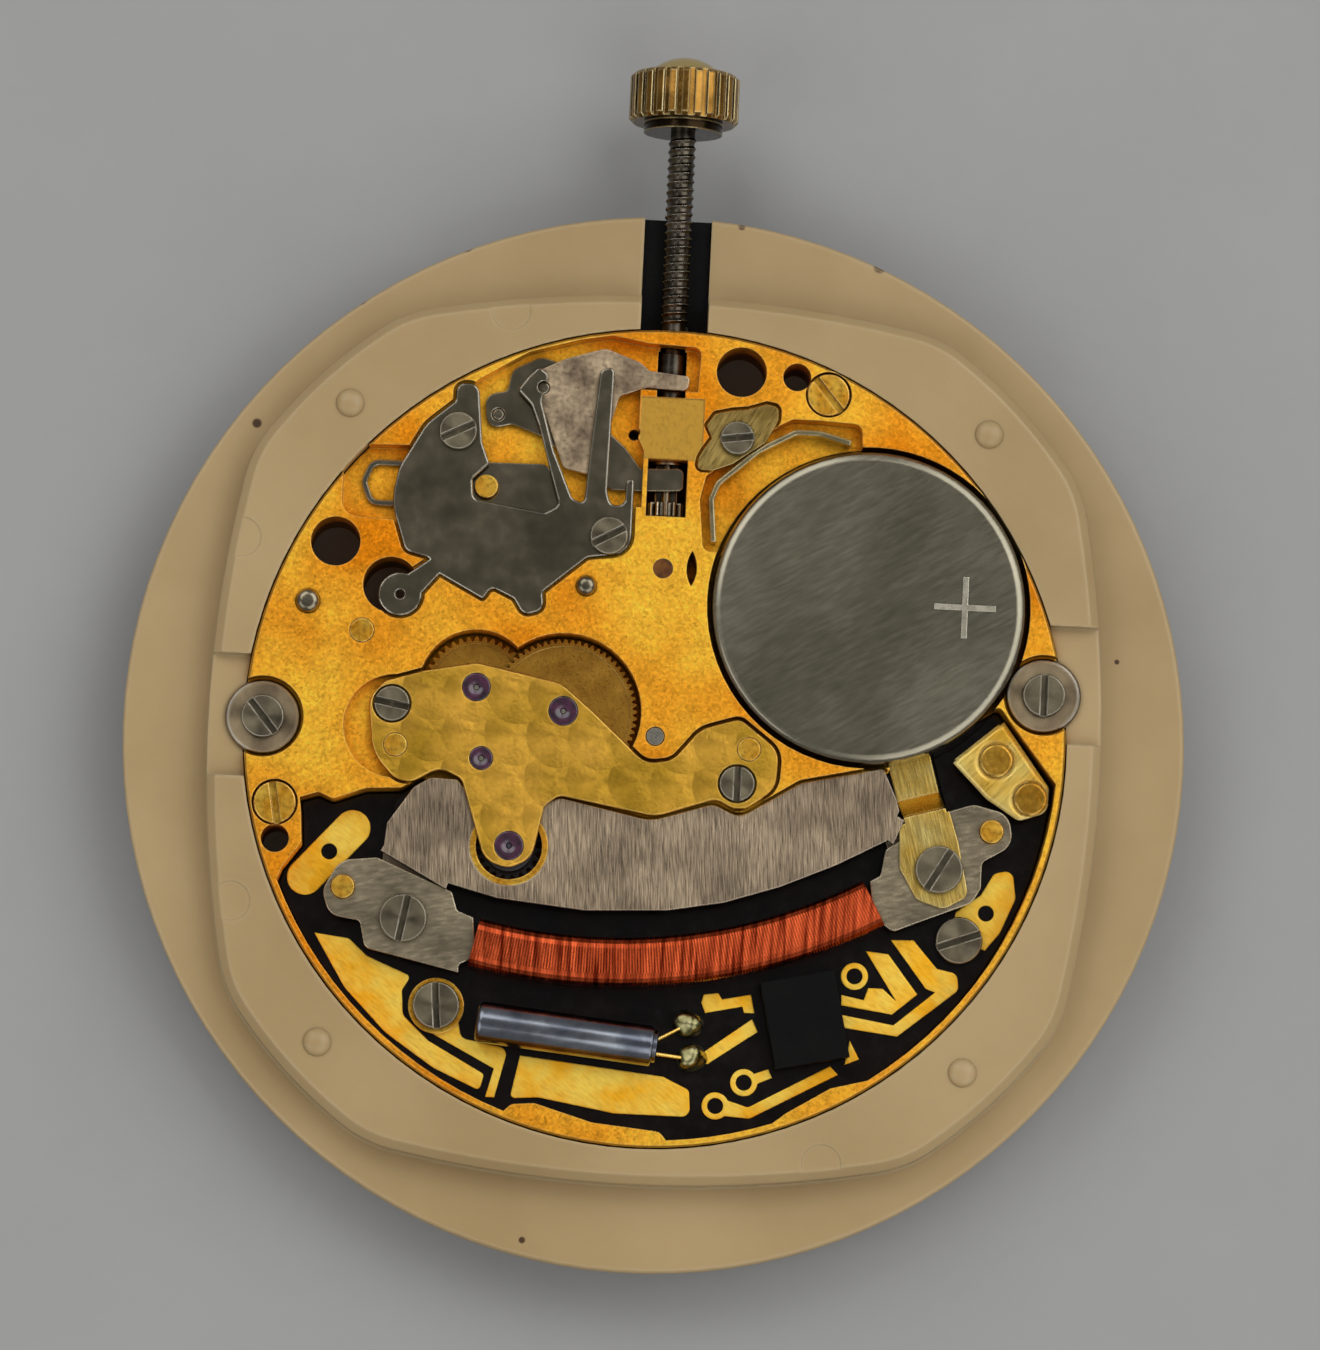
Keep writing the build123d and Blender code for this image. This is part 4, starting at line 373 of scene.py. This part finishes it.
def turned_steel(node, dark, light, rough, edge, edge_highlight, hollow_shade):
    """Steel turned on a lathe and polished: its rings, too fine to show, spread the light in bright wedges."""
    made = start_material("steel_turned_" + node)
    tree, shader, place = made[1:]
    arm, reach = None, None
    for x, y in turned_shares[node]:
        middle = {"operation": "SUBTRACT", 1: Vector((x, y, 0)) * plate_radius * MM}
        apart = add(tree, "ShaderNodeVectorMath", middle, a=(place, "Object")), "Vector"
        level = add(tree, "ShaderNodeVectorMath", {"operation": "MULTIPLY", 1: (1, 1, 0)}, a=apart), "Vector"
        length = add(tree, "ShaderNodeVectorMath", {"operation": "LENGTH"}, a=level), "Value"
        if arm:
            nearer = add(tree, "ShaderNodeMath", {"operation": "LESS_THAN"}, a=length, b=reach), "Value"
            level = add(tree, "ShaderNodeMixRGB", None, Fac=nearer, Color1=arm, Color2=level), "Color"
            length = add(tree, "ShaderNodeMath", {"operation": "MINIMUM"}, a=length, b=reach), "Value"
        arm, reach = level, length
    around = add(tree, "ShaderNodeVectorMath", {"operation": "CROSS_PRODUCT", 1: (0, 0, 1)}, a=arm), "Vector"
    tree.links.new(around[0].outputs[around[1]], shader.inputs["Tangent"])
    rings = add(tree, "ShaderNodeMath", {"operation": "MULTIPLY", 1: 1000 / ring_pitch}, a=reach), "Value"
    pattern = {"noise_dimensions": "1D", "Scale": 1.0, "Detail": 2.0}
    rings = add(tree, "ShaderNodeTexNoise", pattern, W=rings), "Fac"
    tone = two_tones(tree, grain(tree, place, (0.6,), detail=4.0), dark, light)
    shader.inputs["Metallic"].default_value = 1.0
    shader.inputs["Anisotropic"].default_value = 0.92
    return dress(made, tone, ranged(tree, rings, *rough, *noise_span), rings, 0.001, edge, edge_highlight, hollow_shade)


def gold_plate():
    """Gold plate of the crown, polished on its flutes: warm, with dark lines between them that painted shade
    deepens, and a painted highlight on their edges. The skirt under them is painted nearly black as shade, and
    the dome at the end is a paler gold."""
    made = start_material("gold_plate_polished")
    tree, shader, place = made[1:]
    fine = grain(tree, place, (0.10,))
    tone = two_tones(tree, grain(tree, place, (0.8,), detail=4.0), "#6E4E20", "#B4863E")
    along = add(tree, "ShaderNodeSeparateXYZ", None, Vector=(place, "Object")), "Y"
    # Painted shade: the skirt under the flutes goes nearly black
    skirt = ranged(tree, along, 1.0, 0.0, (crown_band_start - crown_blend) * MM,
                   (crown_band_start + crown_blend) * MM)
    dome = ranged(tree, along, 0.0, 1.0, (crown_dome_start - crown_blend) * MM,
                  (crown_dome_start + dome_blend) * MM)
    tone = add(tree, "ShaderNodeMixRGB", {"Color2": linear("#DCC27E")}, Fac=dome, Color1=tone), "Color"
    tone = add(tree, "ShaderNodeMixRGB", {"Color2": linear("#2A2014")}, Fac=skirt, Color1=tone), "Color"
    shader.inputs["Metallic"].default_value = 1.0
    shine = ranged(tree, fine, 0.12, 0.24, *noise_span)
    return dress(made, tone, shine, fine, 0.004, edge=0.06, edge_highlight="#FFE9AE", hollow_shade=0.95)


def ruby():
    """Synthetic ruby, polished: a dark purple red with a hard bright glint."""
    material, tree, shader, place = start_material("ruby_polished")
    tone = two_tones(tree, grain(tree, place, (0.25,), detail=2.0), "#1E0818", "#4A1C3A")
    tree.links.new(tone[0].outputs[tone[1]], shader.inputs["Base Color"])
    shader.inputs["Roughness"].default_value = 0.18
    shader.inputs["IOR"].default_value = 1.77
    return material


# In the calls below, a colour given for the edges is a painted highlight on outer edges, and a strength given
# for hollows sets how dark painted shade makes slots, gaps and inner corners
# Sizes in a metal's or plastic's brackets: its patches, then its grain, both in millimetres, then its least
# and greatest roughness
plate_gilt = frosted_gilt()
bridge_gilt = pearled_gilt()
plastic_cream = cream_plastic()
ruby_red = ruby()
# Turned and polished gilt brass of pins, collars and screws: clear yellow shine
trim_gilt = metal("gilt_brass_turned", "#E8A02A", "#FFCB50", (0.5,), (0.12,), (0.24, 0.36), 0.002,
                  edge_highlight="#FFE9A0")
# Rolled and stamped gilt spring brass: pale, nearly mirror bright
contact_gilt = metal("gilt_brass_rolled", "#EABA48", "#FFE288", (0.9,), (0.05, 0.6, 0.05), (0.20, 0.34), 0.002,
                     turn=-16, edge_highlight="#FFF0BE")
# Folded gilt spring brass of the positive contact: its bends are broad bright bands, partly from a painted
# highlight
folded_gilt = metal("gilt_brass_folded", "#F0BA40", "#FFE07C", (0.9,), (0.05, 0.5, 0.05), (0.26, 0.38), 0.002,
                    turn=41, edge=0.22, edge_highlight="#FFF4B8")
# Riveted brass: heads peened over, warm and a little brown
rivet_brass = metal("brass_peened", "#D09430", "#F4BC4C", (0.5,), (0.16,), (0.16, 0.26), 0.002, edge=0.12,
                    edge_highlight="#FFE08C")
# Etched gold over copper: bright, with a slightly wavy lustre
track_gold = metal("gold_flash_etched", "#FFBC2C", "#FFD85C", (0.7,), (0.22, 0.08, 0.22), (0.42, 0.54), 0.006,
                   turn=35, hollow_shade=0.5)
# Hardened and polished steel of pins and pinions: a dark mirror whose edges are bright, partly from a painted
# highlight
screw_steel = metal("steel_polished", "#77705F", "#A1967F", (0.6,), (0.5, 0.03, 0.5), (0.12, 0.26), 0.002,
                    turn=20, edge=0.06, edge_highlight="#EFE6CF", hollow_shade=0.85)
# Polished spring wire: bright, its tone a little yellow as a painted reflection of the gilt round it
spring_wire = metal("spring_wire_polished", "#B3A276", "#DCCB9A", (0.5,), (0.30,), (0.10, 0.22), 0.002,
                    edge=0.06, edge_highlight="#FFF3CC")
# Soft iron sheet, brushed by hand: fine straight lines and warm glints
stator_iron = metal("soft_iron_brushed", "#8B7A66", "#BBA68A", (1.6,), (0.028, 0.5, 0.5), (0.24, 0.44), 0.006,
                    turn=-4, edge_highlight="#F6EAD4", glint=0.28)
# Rolled nickel-iron of the coil's core: brighter, less brushed
core_iron = metal("nickel_iron_rolled", "#A2947A", "#D0BF9E", (1.0,), (0.30, 0.08, 0.30), (0.18, 0.30), 0.001,
                  turn=-12, edge_highlight="#FFF6E2", glint=0.04)
# Spring steel of the jumper and yoke, polished black: a dark mirror whose edges are bright, partly from a
# painted highlight
dark_steel = metal("spring_steel_dark", "#7A725E", "#988E76", (1.4,), (0.4,), (0.10, 0.22), 0.001,
                   edge_highlight="#FFFBEE", hollow_shade=0.85)
# Stamped lever steel, tumbled: warm brown grey with stains
lever_steel = metal("lever_steel_tumbled", "#8A7762", "#E0C6A2", (0.9,), (0.12,), (0.26, 0.40), 0.002,
                    edge_highlight="#EFE2CA")
# Stem steel from the lathe, oiled: dark with narrow glints
stem_steel = metal("stem_steel_turned", "#37322C", "#625A4E", (0.6,), (0.30,), (0.20, 0.32), 0.001, edge=0.02,
                   edge_highlight="#D8CDB8", hollow_shade=0.95)
# Nickel-plated sheet of the button cell and of the works' cover: a grey mirror, faintly brushed
cell_steel = metal("nickel_plated_can", "#7E7968", "#A29C88", (4.0,), (0.07, 0.5, 0.5), (0.19, 0.25), 0.0005,
                   turn=60, edge=0.08, edge_highlight="#D8D0BC")
# The plus sign on the can, raised by the stamp: its lighter tone and its rims are a painted highlight
sign_steel = metal("nickel_plated_sign", "#C9C2AC", "#E8E1CC", (0.5,), (0.30,), (0.24, 0.30), 0.0005,
                   edge=0.02, edge_highlight="#FFFAEA", hollow_shade=0.0)
# Drawn nickel-silver can of the crystal: blue-grey mirror
can_silver = metal("nickel_silver_drawn", "#6A6F7A", "#989DA4", (0.9,), (0.6, 0.3, 0.3), (0.16, 0.26), 0.001,
                   turn=-5)
# Tin-lead solder: bright, lumpy, with a skin of flux
solder = metal("solder_cooled", "#6E6A44", "#A8A276", (0.25,), (0.20,), (0.20, 0.34), 0.002)
# Ground ferrite of the rotor: nearly black, matt
ferrite = plastic("ferrite_ground", "#1E1E20", "#34343A", (0.5,), (0.06,), (0.40, 0.60), 0.004)
# Moulded black epoxy and glass-filled plastic: matt, faintly grainy
black_plastic = plastic("epoxy_moulded_black", "#060505", "#0C0B0A", (1.2,), (0.09,), (0.42, 0.60), 0.005,
                        gloss=0.10)
# Lacquered circuit board: black with a hint of brown and a wet shine
board_lacquer = plastic("circuit_board_lacquered", "#080504", "#110906", (0.8,), (0.30,), (0.16, 0.30), 0.004,
                        gloss=0.22)
# Nylon seal of the cell: dark, dull
seal_nylon = plastic("nylon_seal", "#191A1E", "#2A2B30", (0.6,), (0.10,), (0.45, 0.60), 0.003)
# Garnet over the setting wheel: brown, polished
garnet_brown = plastic("garnet_polished", "#4E2C12", "#784A20", (0.3,), (0.10,), (0.10, 0.20), 0.001)
crown_gold = gold_plate()
# Olive-gilt spring sheet of the battery clamp: brushed and slightly dull
clamp_gilt = metal("gilt_steel_stamped", "#92783F", "#BCA05C", (0.7,), (0.05, 0.5, 0.05), (0.24, 0.40), 0.004,
                   turn=30, edge_highlight="#F2DC98", glint=0.15)
# Enamelled copper wire: brown-red with a glassy skin, a little different from turn to turn
wire_copper = metal("copper_wire_enamelled", "#5E1A0A", "#CC5830", (0.13, 2.5, 2.5), (0.08, 0.6, 0.6),
                    (0.16, 0.34), 0.006, turn=8, edge=0.03)

finishes = {
    plastic_cream: ["casing_ring"],
    plate_gilt: ["main_plate"],
    bridge_gilt: ["train_bridge"],
    ruby_red: ["bridge_jewels", "plate_jewels", "cover_jewel"],
    trim_gilt: ["rotor_sleeve", "circuit_collar", "dial_foot_screws", "gilt_pins"],
    contact_gilt: ["negative_contact", "crystal_leads"],
    folded_gilt: ["positive_contact"],
    rivet_brass: ["contact_rivets"],
    track_gold: ["circuit_tracks"],
    screw_steel: ["cannon_pinion", "minute_post", "setting_wheel", "cover_screws", "sliding_pinion",
                  "steel_pins", "keyless_pins"],
    spring_wire: ["battery_spring"],
    stator_iron: ["stator"],
    core_iron: ["coil_core"],
    dark_steel: ["setting_jumper", "yoke", "yoke_spring"],
    lever_steel: ["setting_lever"],
    stem_steel: ["stem"],
    cell_steel: ["cell_can", "cell_cap", "motion_cover"],
    can_silver: ["crystal_can"],
    solder: ["lead_solder"],
    ferrite: ["rotor"],
    black_plastic: ["stem_channel_strip", "circuit_chip"],
    board_lacquer: ["circuit_board"],
    seal_nylon: ["cell_gasket"],
    garnet_brown: ["setting_jewel"],
    crown_gold: ["crown"],
    clamp_gilt: ["battery_clamp"],
    wire_copper: ["coil_winding"],
}

# Screws and washers: the colour before the last number is a painted highlight on their edges, and the last
# number sets how dark painted shade makes their slots and hollows
for name in turned_shares:
    if name == "casing_washers":
        finish = turned_steel(name, "#7C6C56", "#A08E70", (0.34, 0.44), 0.12, "#FFFBF0", 0.6)
    else:
        finish = turned_steel(name, "#5C5546", "#827862", (0.32, 0.42), 0.05, "#FFF6DF", 0.9)
    finishes[finish] = [name]

# Wheels with the radius of their arbors in millimetres
arbor_radii = {"intermediate_wheel": 0.14, "second_wheel": 0.14, "third_wheel": 0.14, "centre_wheel": 0.23,
               "minute_wheel": 0.0, "hour_wheel": 0.0}
for name, radius in arbor_radii.items():
    finishes[wheel_brass(name, radius)] = [name]

for material, names in finishes.items():
    for name in names:
        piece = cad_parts[name]
        piece.data.materials.clear()
        piece.data.materials.append(material)


def piece_of(name, shape, material, body):
    """Makes a finished mesh a piece that rides on a body."""
    mesh = bpy.data.meshes.new(name)
    shape.to_mesh(mesh)
    shape.free()
    piece = bpy.data.objects.new(name, mesh)
    bpy.context.collection.objects.link(piece)
    mesh.materials.append(material)
    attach(piece, body)
    return piece


def arc_centre(points):
    """Centre and radius of the circle through three points."""
    (ax, ay), (bx, by), (cx, cy) = points
    d = 2 * (ax * (by - cy) + bx * (cy - ay) + cx * (ay - by))
    a, b, c = ax * ax + ay * ay, bx * bx + by * by, cx * cx + cy * cy
    x = (a * (by - cy) + b * (cy - ay) + c * (ay - by)) / d
    y = (a * (cx - bx) + b * (ax - cx) + c * (bx - ax)) / d
    return Vector((x, y)), math.hypot(ax - x, ay - y)


def coil_turns():
    """Copper winding: a rounded section carried along the coil's arc, with a groove between each two turns."""
    line = [(x * plate_radius, y * plate_radius) for x, y in coil_shares]
    middle, radius = arc_centre(line)
    start, end = (math.atan2(y - middle.y, x - middle.x) for x, y in (line[0], line[2]))
    sweep = (end - start) % (2 * math.pi)
    turns = round(sweep * radius / pitch_of_wire)
    shape = bmesh.new()
    bmesh.ops.create_grid(shape, x_segments=1, y_segments=1, size=1.0)
    for vert in shape.verts:
        vert.co = Vector((vert.co.x * coil_width / 2, vert.co.y * coil_height / 2, 0)) * MM
    bmesh.ops.bevel(shape, geom=shape.verts[:], offset=coil_edge_radius * MM, segments=4, profile=0.5,
                    affect="VERTICES", material=-1)
    edges = [e for e in shape.edges if len(e.link_faces) == 1]
    bmesh.ops.delete(shape, geom=shape.faces[:], context="FACES_ONLY")
    along = Vector((math.cos(start), math.sin(start), 0))
    basis = Matrix((along, Vector((0, 0, 1)), Vector((along.y, -along.x, 0)))).transposed().to_4x4()
    place = Matrix.Translation(Vector((middle.x, middle.y, coil_level)) * MM + along * radius * MM) @ basis
    bmesh.ops.transform(shape, matrix=place, verts=shape.verts[:])
    bmesh.ops.spin(shape, geom=edges + shape.verts[:], cent=Vector((middle.x, middle.y, 0)) * MM,
                   axis=(0, 0, 1), angle=sweep, steps=2 * turns, use_merge=False, use_duplicate=False)
    for vert in shape.verts:
        turn = (math.atan2(vert.co.y / MM - middle.y, vert.co.x / MM - middle.x) - start) % (2 * math.pi)
        step = round(turn / sweep * 2 * turns)
        if step % 2:
            core = Vector((math.cos(start + turn), math.sin(start + turn), 0)) * radius
            core = (core + Vector((middle.x, middle.y, coil_level))) * MM
            vert.co += (core - vert.co).normalized() * groove_depth * MM
    bmesh.ops.holes_fill(shape, edges=[e for e in shape.edges if e.is_boundary])
    bmesh.ops.recalc_face_normals(shape, faces=shape.faces[:])
    piece = piece_of("coil_turns", shape, wire_copper, "movement")
    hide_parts("coil_winding")


def stem_thread():
    """The stem's thread: a three-cornered ridge wound round it, with its root sunk in the stem."""
    shape = bmesh.new()
    corners = [(-thread_share, thread_root), (0.0, thread_crest), (thread_share, thread_root)]
    ridge = [shape.verts.new(Vector((radius, thread_start + thread_pitch * (0.5 + share), 0)) * MM)
             for share, radius in corners]
    shape.faces.new(ridge)
    bmesh.ops.delete(shape, geom=shape.faces[:], context="FACES_ONLY")
    profile = shape.edges[:] + ridge
    turns = int((thread_end - thread_start) / thread_pitch) - 1
    bmesh.ops.spin(shape, geom=profile, cent=(0, 0, 0), axis=(0, 1, 0), angle=2 * math.pi * turns,
                   steps=thread_steps * turns, dvec=Vector((0, thread_pitch / thread_steps, 0)) * MM,
                   use_merge=False, use_duplicate=False)
    bmesh.ops.holes_fill(shape, edges=[e for e in shape.edges if e.is_boundary])
    bmesh.ops.recalc_face_normals(shape, faces=shape.faces[:])
    bmesh.ops.transform(shape, matrix=Matrix.Translation((0, 0, stem_level * MM)), verts=shape.verts[:])
    piece = piece_of("stem_thread", shape, stem_steel, "stem_body")


def polarity_sign():
    """The cell's plus sign: a flat cross with rounded rims, pressed proud of the can."""
    shape = bmesh.new()
    bmesh.ops.create_grid(shape, x_segments=3, y_segments=3, size=sign_length / 2 * MM)
    for vert in shape.verts:
        for axis in (0, 1):
            if abs(vert.co[axis]) < sign_length / 4 * MM:
                vert.co[axis] = math.copysign(sign_width / 2 * MM, vert.co[axis])
    reach = sign_width / 4 * MM
    corners = [f for f in shape.faces if min(abs(f.calc_center_median()[i]) for i in (0, 1)) >= reach]
    bmesh.ops.delete(shape, geom=corners, context="FACES")
    raised = bmesh.ops.extrude_face_region(shape, geom=shape.faces[:])["geom"]
    top = [part for part in raised if isinstance(part, bmesh.types.BMVert)]
    bmesh.ops.translate(shape, vec=(0, 0, sign_height * MM), verts=top)
    rim = [e for e in shape.edges if e.calc_length() > 0 and abs(e.verts[0].co.z - sign_height * MM) < 1e-7
           and abs(e.verts[1].co.z - sign_height * MM) < 1e-7 and abs(e.calc_face_angle(0)) > 0.5]
    bmesh.ops.bevel(shape, geom=rim, offset=sign_rounding * MM, segments=2, profile=0.5, affect="EDGES",
                    material=-1)
    bmesh.ops.recalc_face_normals(shape, faces=shape.faces[:])
    bmesh.ops.transform(shape, matrix=Matrix.Translation(Vector(sign_place) * MM), verts=shape.verts[:])
    piece = piece_of("cell_plus_sign", shape, sign_steel, "battery_body")


def turned(whole, outline, rounded, middle, lying=None):
    """Turns an outline, given as radius and height in millimetres, all round an axis, and adds it to a mesh.
    Its corners that have a rounding in the table are rounded first, and it can be laid along a direction."""
    shape = bmesh.new()
    corners = [shape.verts.new(Vector((radius, 0, height)) * MM) for radius, height in outline]
    shape.faces.new(corners)
    for corner, rounding in rounded.items():
        bmesh.ops.bevel(shape, geom=[corners[corner]], offset=rounding * MM, segments=6, profile=0.5,
                        affect="VERTICES", material=-1)
    bmesh.ops.delete(shape, geom=shape.faces[:], context="FACES_ONLY")
    on_axis = [e for e in shape.edges if e.verts[0].co.x + e.verts[1].co.x == 0]
    bmesh.ops.delete(shape, geom=on_axis, context="EDGES")
    bmesh.ops.spin(shape, geom=shape.verts[:] + shape.edges[:], cent=(0, 0, 0), axis=(0, 0, 1),
                   angle=2 * math.pi, steps=turned_steps, use_merge=True, use_duplicate=False)
    bmesh.ops.remove_doubles(shape, verts=shape.verts[:], dist=1e-7)
    bmesh.ops.recalc_face_normals(shape, faces=shape.faces[:])
    basis = lying.to_track_quat("Z", "Y").to_matrix().to_4x4() if lying else Matrix.Identity(4)
    bmesh.ops.transform(shape, matrix=Matrix.Translation(Vector(middle) * MM) @ basis, verts=shape.verts[:])
    mesh = bpy.data.meshes.new("turned")
    shape.to_mesh(mesh)
    shape.free()
    whole.from_mesh(mesh)
    bpy.data.meshes.remove(mesh)


def turned_piece(name, shape, material, node):
    """Smooth-sided piece that stands for a node of the movement."""
    piece = piece_of(name, shape, material, "movement")
    piece.data.shade_smooth()
    piece.data.set_sharp_from_angle(angle=math.radians(sharp_angle))
    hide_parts(node)


def jewels():
    """Pierced jewels of the bridge, each with a round oil cup."""
    shape = bmesh.new()
    low, top = (corner[2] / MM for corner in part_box("bridge_jewels"))
    lows = [low] + [top - jewel_height] * 3
    for share, radius, foot in zip(jewel_shares, jewel_radii, lows):
        outline = [(jewel_hole_radius, foot), (radius, foot), (radius, top), (jewel_cup_radius, top),
                   (jewel_hole_radius, top - jewel_cup_depth)]
        middle = (share[0] * plate_radius, share[1] * plate_radius, 0)
        turned(shape, outline, {2: jewel_rounding, 3: jewel_cup_rounding}, middle)
    turned_piece("pierced_jewels", shape, ruby_red, "bridge_jewels")


def steel_pins():
    """Steel pins of the plate with rounded ends."""
    shape = bmesh.new()
    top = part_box("steel_pins")[1][2] / MM
    for share, radius in zip(pin_shares, pin_radii):
        outline = [(0, top - pin_height), (radius, top - pin_height), (radius, top), (0, top)]
        turned(shape, outline, {2: pin_rounding}, (share[0] * plate_radius, share[1] * plate_radius, 0))
    turned_piece("rounded_pins", shape, screw_steel, "steel_pins")


def crystal():
    """Drawn can of the crystal with its rounded end, lying on the board."""
    shape = bmesh.new()
    start, end = (Vector((x, y, 0)) * plate_radius for x, y in can_shares)
    length = (end - start).length
    outline = [(0, 0), (can_radius, 0), (can_radius, length), (can_base_radius, length),
               (can_base_radius, length + can_base_length), (0, length + can_base_length)]
    start.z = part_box("crystal_can")[0][2] / MM + can_radius
    turned(shape, outline, {1: can_rounding, 2: can_end_rounding}, start, end - Vector((start.x, start.y, 0)))
    turned_piece("drawn_can", shape, can_silver, "crystal_can")


def cut_flat(shape, level):
    """Cuts a mesh off below a level in millimetres, closes it there and makes it smooth."""
    whole = shape.verts[:] + shape.edges[:] + shape.faces[:]
    cut = bmesh.ops.bisect_plane(shape, geom=whole, plane_co=(0, 0, level * MM), plane_no=(0, 0, 1),
                                 clear_inner=True)["geom_cut"]
    bmesh.ops.holes_fill(shape, edges=[e for e in cut if isinstance(e, bmesh.types.BMEdge)])
    bmesh.ops.recalc_face_normals(shape, faces=shape.faces[:])
    for face in shape.faces:
        face.smooth = True


def ring_pips():
    """Domed pips on the casing ring, moulded with it, over the plain ones of the solid."""
    shape = bmesh.new()
    for quarter in range(4):
        turn = math.radians(45 + 90 * quarter)
        pip = bmesh.ops.create_uvsphere(shape, u_segments=32, v_segments=16, radius=1.0)["verts"]
        bmesh.ops.scale(shape, vec=Vector((pip_radius, pip_radius, pip_height)) * MM, verts=pip)
        middle = Vector((math.cos(turn), math.sin(turn), 0)) * pip_reach + Vector((0, 0, ring_height))
        bmesh.ops.translate(shape, vec=middle * MM, verts=pip)
    cut_flat(shape, ring_height - pip_sink)
    piece = piece_of("ring_pips", shape, plastic_cream, "movement")


def solder_lumps():
    """Two lumps of solder on the crystal's leads, uneven as they cooled, each run out flat at its foot."""
    shape = bmesh.new()
    for x, y, radius in solder_places:
        lump = bmesh.ops.create_icosphere(shape, subdivisions=4, radius=radius * MM)["verts"]
        for vert in lump:
            rise = noise.noise(vert.co * 1000 / solder_ripple + Vector((x, y, 0)))
            foot = 1.0 + solder_spread * max(0.0, -vert.co.z / (radius * MM)) + solder_spread_change * rise
            height = solder_height + solder_height_change * rise
            vert.co = Vector((vert.co.x * foot, vert.co.y * foot * solder_depth, vert.co.z * height))
        bmesh.ops.translate(shape, vec=Vector((x, y, track_level + solder_lift * radius)) * MM, verts=lump)
    cut_flat(shape, track_level)
    piece = piece_of("solder_lumps", shape, solder, "movement")
    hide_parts("lead_solder")


coil_turns()
stem_thread()
polarity_sign()
solder_lumps()
ring_pips()
jewels()
steel_pins()
crystal()

# Pale plain floor
floor_size = 1.5
floor_shape = bmesh.new()
bmesh.ops.create_grid(floor_shape, x_segments=1, y_segments=1, size=floor_size)
floor_mesh = bpy.data.meshes.new("floor")
floor_shape.to_mesh(floor_mesh)
floor_shape.free()
floor_mesh.transform(Matrix.Translation((0, 0, floor_level)))
floor = bpy.data.objects.new("floor", floor_mesh)
bpy.context.collection.objects.link(floor)
floor_finish = plastic("floor_pale", "#9D9D9C", "#A0A09F", (9.0,), (0.8,), (0.7, 0.8), 0.02, hollow_shade=0.0)
floor_mesh.materials.append(floor_finish)

# Soft boxes on four sides: direction and height in degrees, width in metres, power in watts
softbox_reach = 0.6
softboxes = [(35, 50, 0.50, 1.45), (125, 48, 0.42, 0.90), (215, 42, 0.42, 0.65), (305, 46, 0.50, 1.00)]
for turn, level, size, power in softboxes:
    lamp = bpy.data.lights.new(f"softbox_{turn}", "AREA")
    lamp.size = size
    lamp.energy = power
    holder = bpy.data.objects.new(lamp.name, lamp)
    a, e = math.radians(turn), math.radians(level)
    spot = Vector((math.cos(a) * math.cos(e), math.sin(a) * math.cos(e), math.sin(e))) * softbox_reach
    holder.location = spot
    holder.rotation_euler = (-spot).to_track_quat("-Z", "Y").to_euler()
    bpy.context.collection.objects.link(holder)

# A dim even sky, which the polished steel mirrors
world = bpy.data.worlds.new("studio")
bpy.context.scene.world = world
world.use_nodes = True
world.node_tree.nodes["Background"].inputs["Color"].default_value = (0.22, 0.22, 0.22, 1)
world.node_tree.nodes["Background"].inputs["Strength"].default_value = 1.0

# Camera of the photograph: nearly straight above, a few degrees towards the lower edge. Its distance is in
# millimetres, and its tilt, lean and roll are in degrees
photo_width, photo_height = 1320, 1350
pixels_per_mm = 40.0
centre_pixel = (655.1, 736.3)
distance = 190.0
tilt = 6.6
lean = 1.0
roll = 2.7
back = Vector((-math.sin(math.radians(lean)), -math.sin(math.radians(tilt)), 1)).normalized()
camera_data = bpy.data.cameras.new("photo_camera")
camera_data.sensor_width = 36.0
camera_data.lens = pixels_per_mm * distance / photo_height * camera_data.sensor_width
camera_data.clip_start = 0.01
camera_data.clip_end = 10.0
camera = bpy.data.objects.new("photo_camera", camera_data)
right = Vector((0, 1, 0)).cross(back).normalized()
upright = Matrix((right, back.cross(right), back)).transposed()
aim = upright @ Matrix.Rotation(math.radians(roll), 3, "Z")
offset = Vector((photo_width / 2 - centre_pixel[0], centre_pixel[1] - photo_height / 2, 0)) / pixels_per_mm
camera.location = (Vector((0, 0, plate_height)) + back * distance + aim @ offset) * MM
camera.rotation_euler = aim.to_euler()
bpy.context.collection.objects.link(camera)
bpy.context.scene.camera = camera
bpy.context.scene.view_settings.view_transform = "Standard"
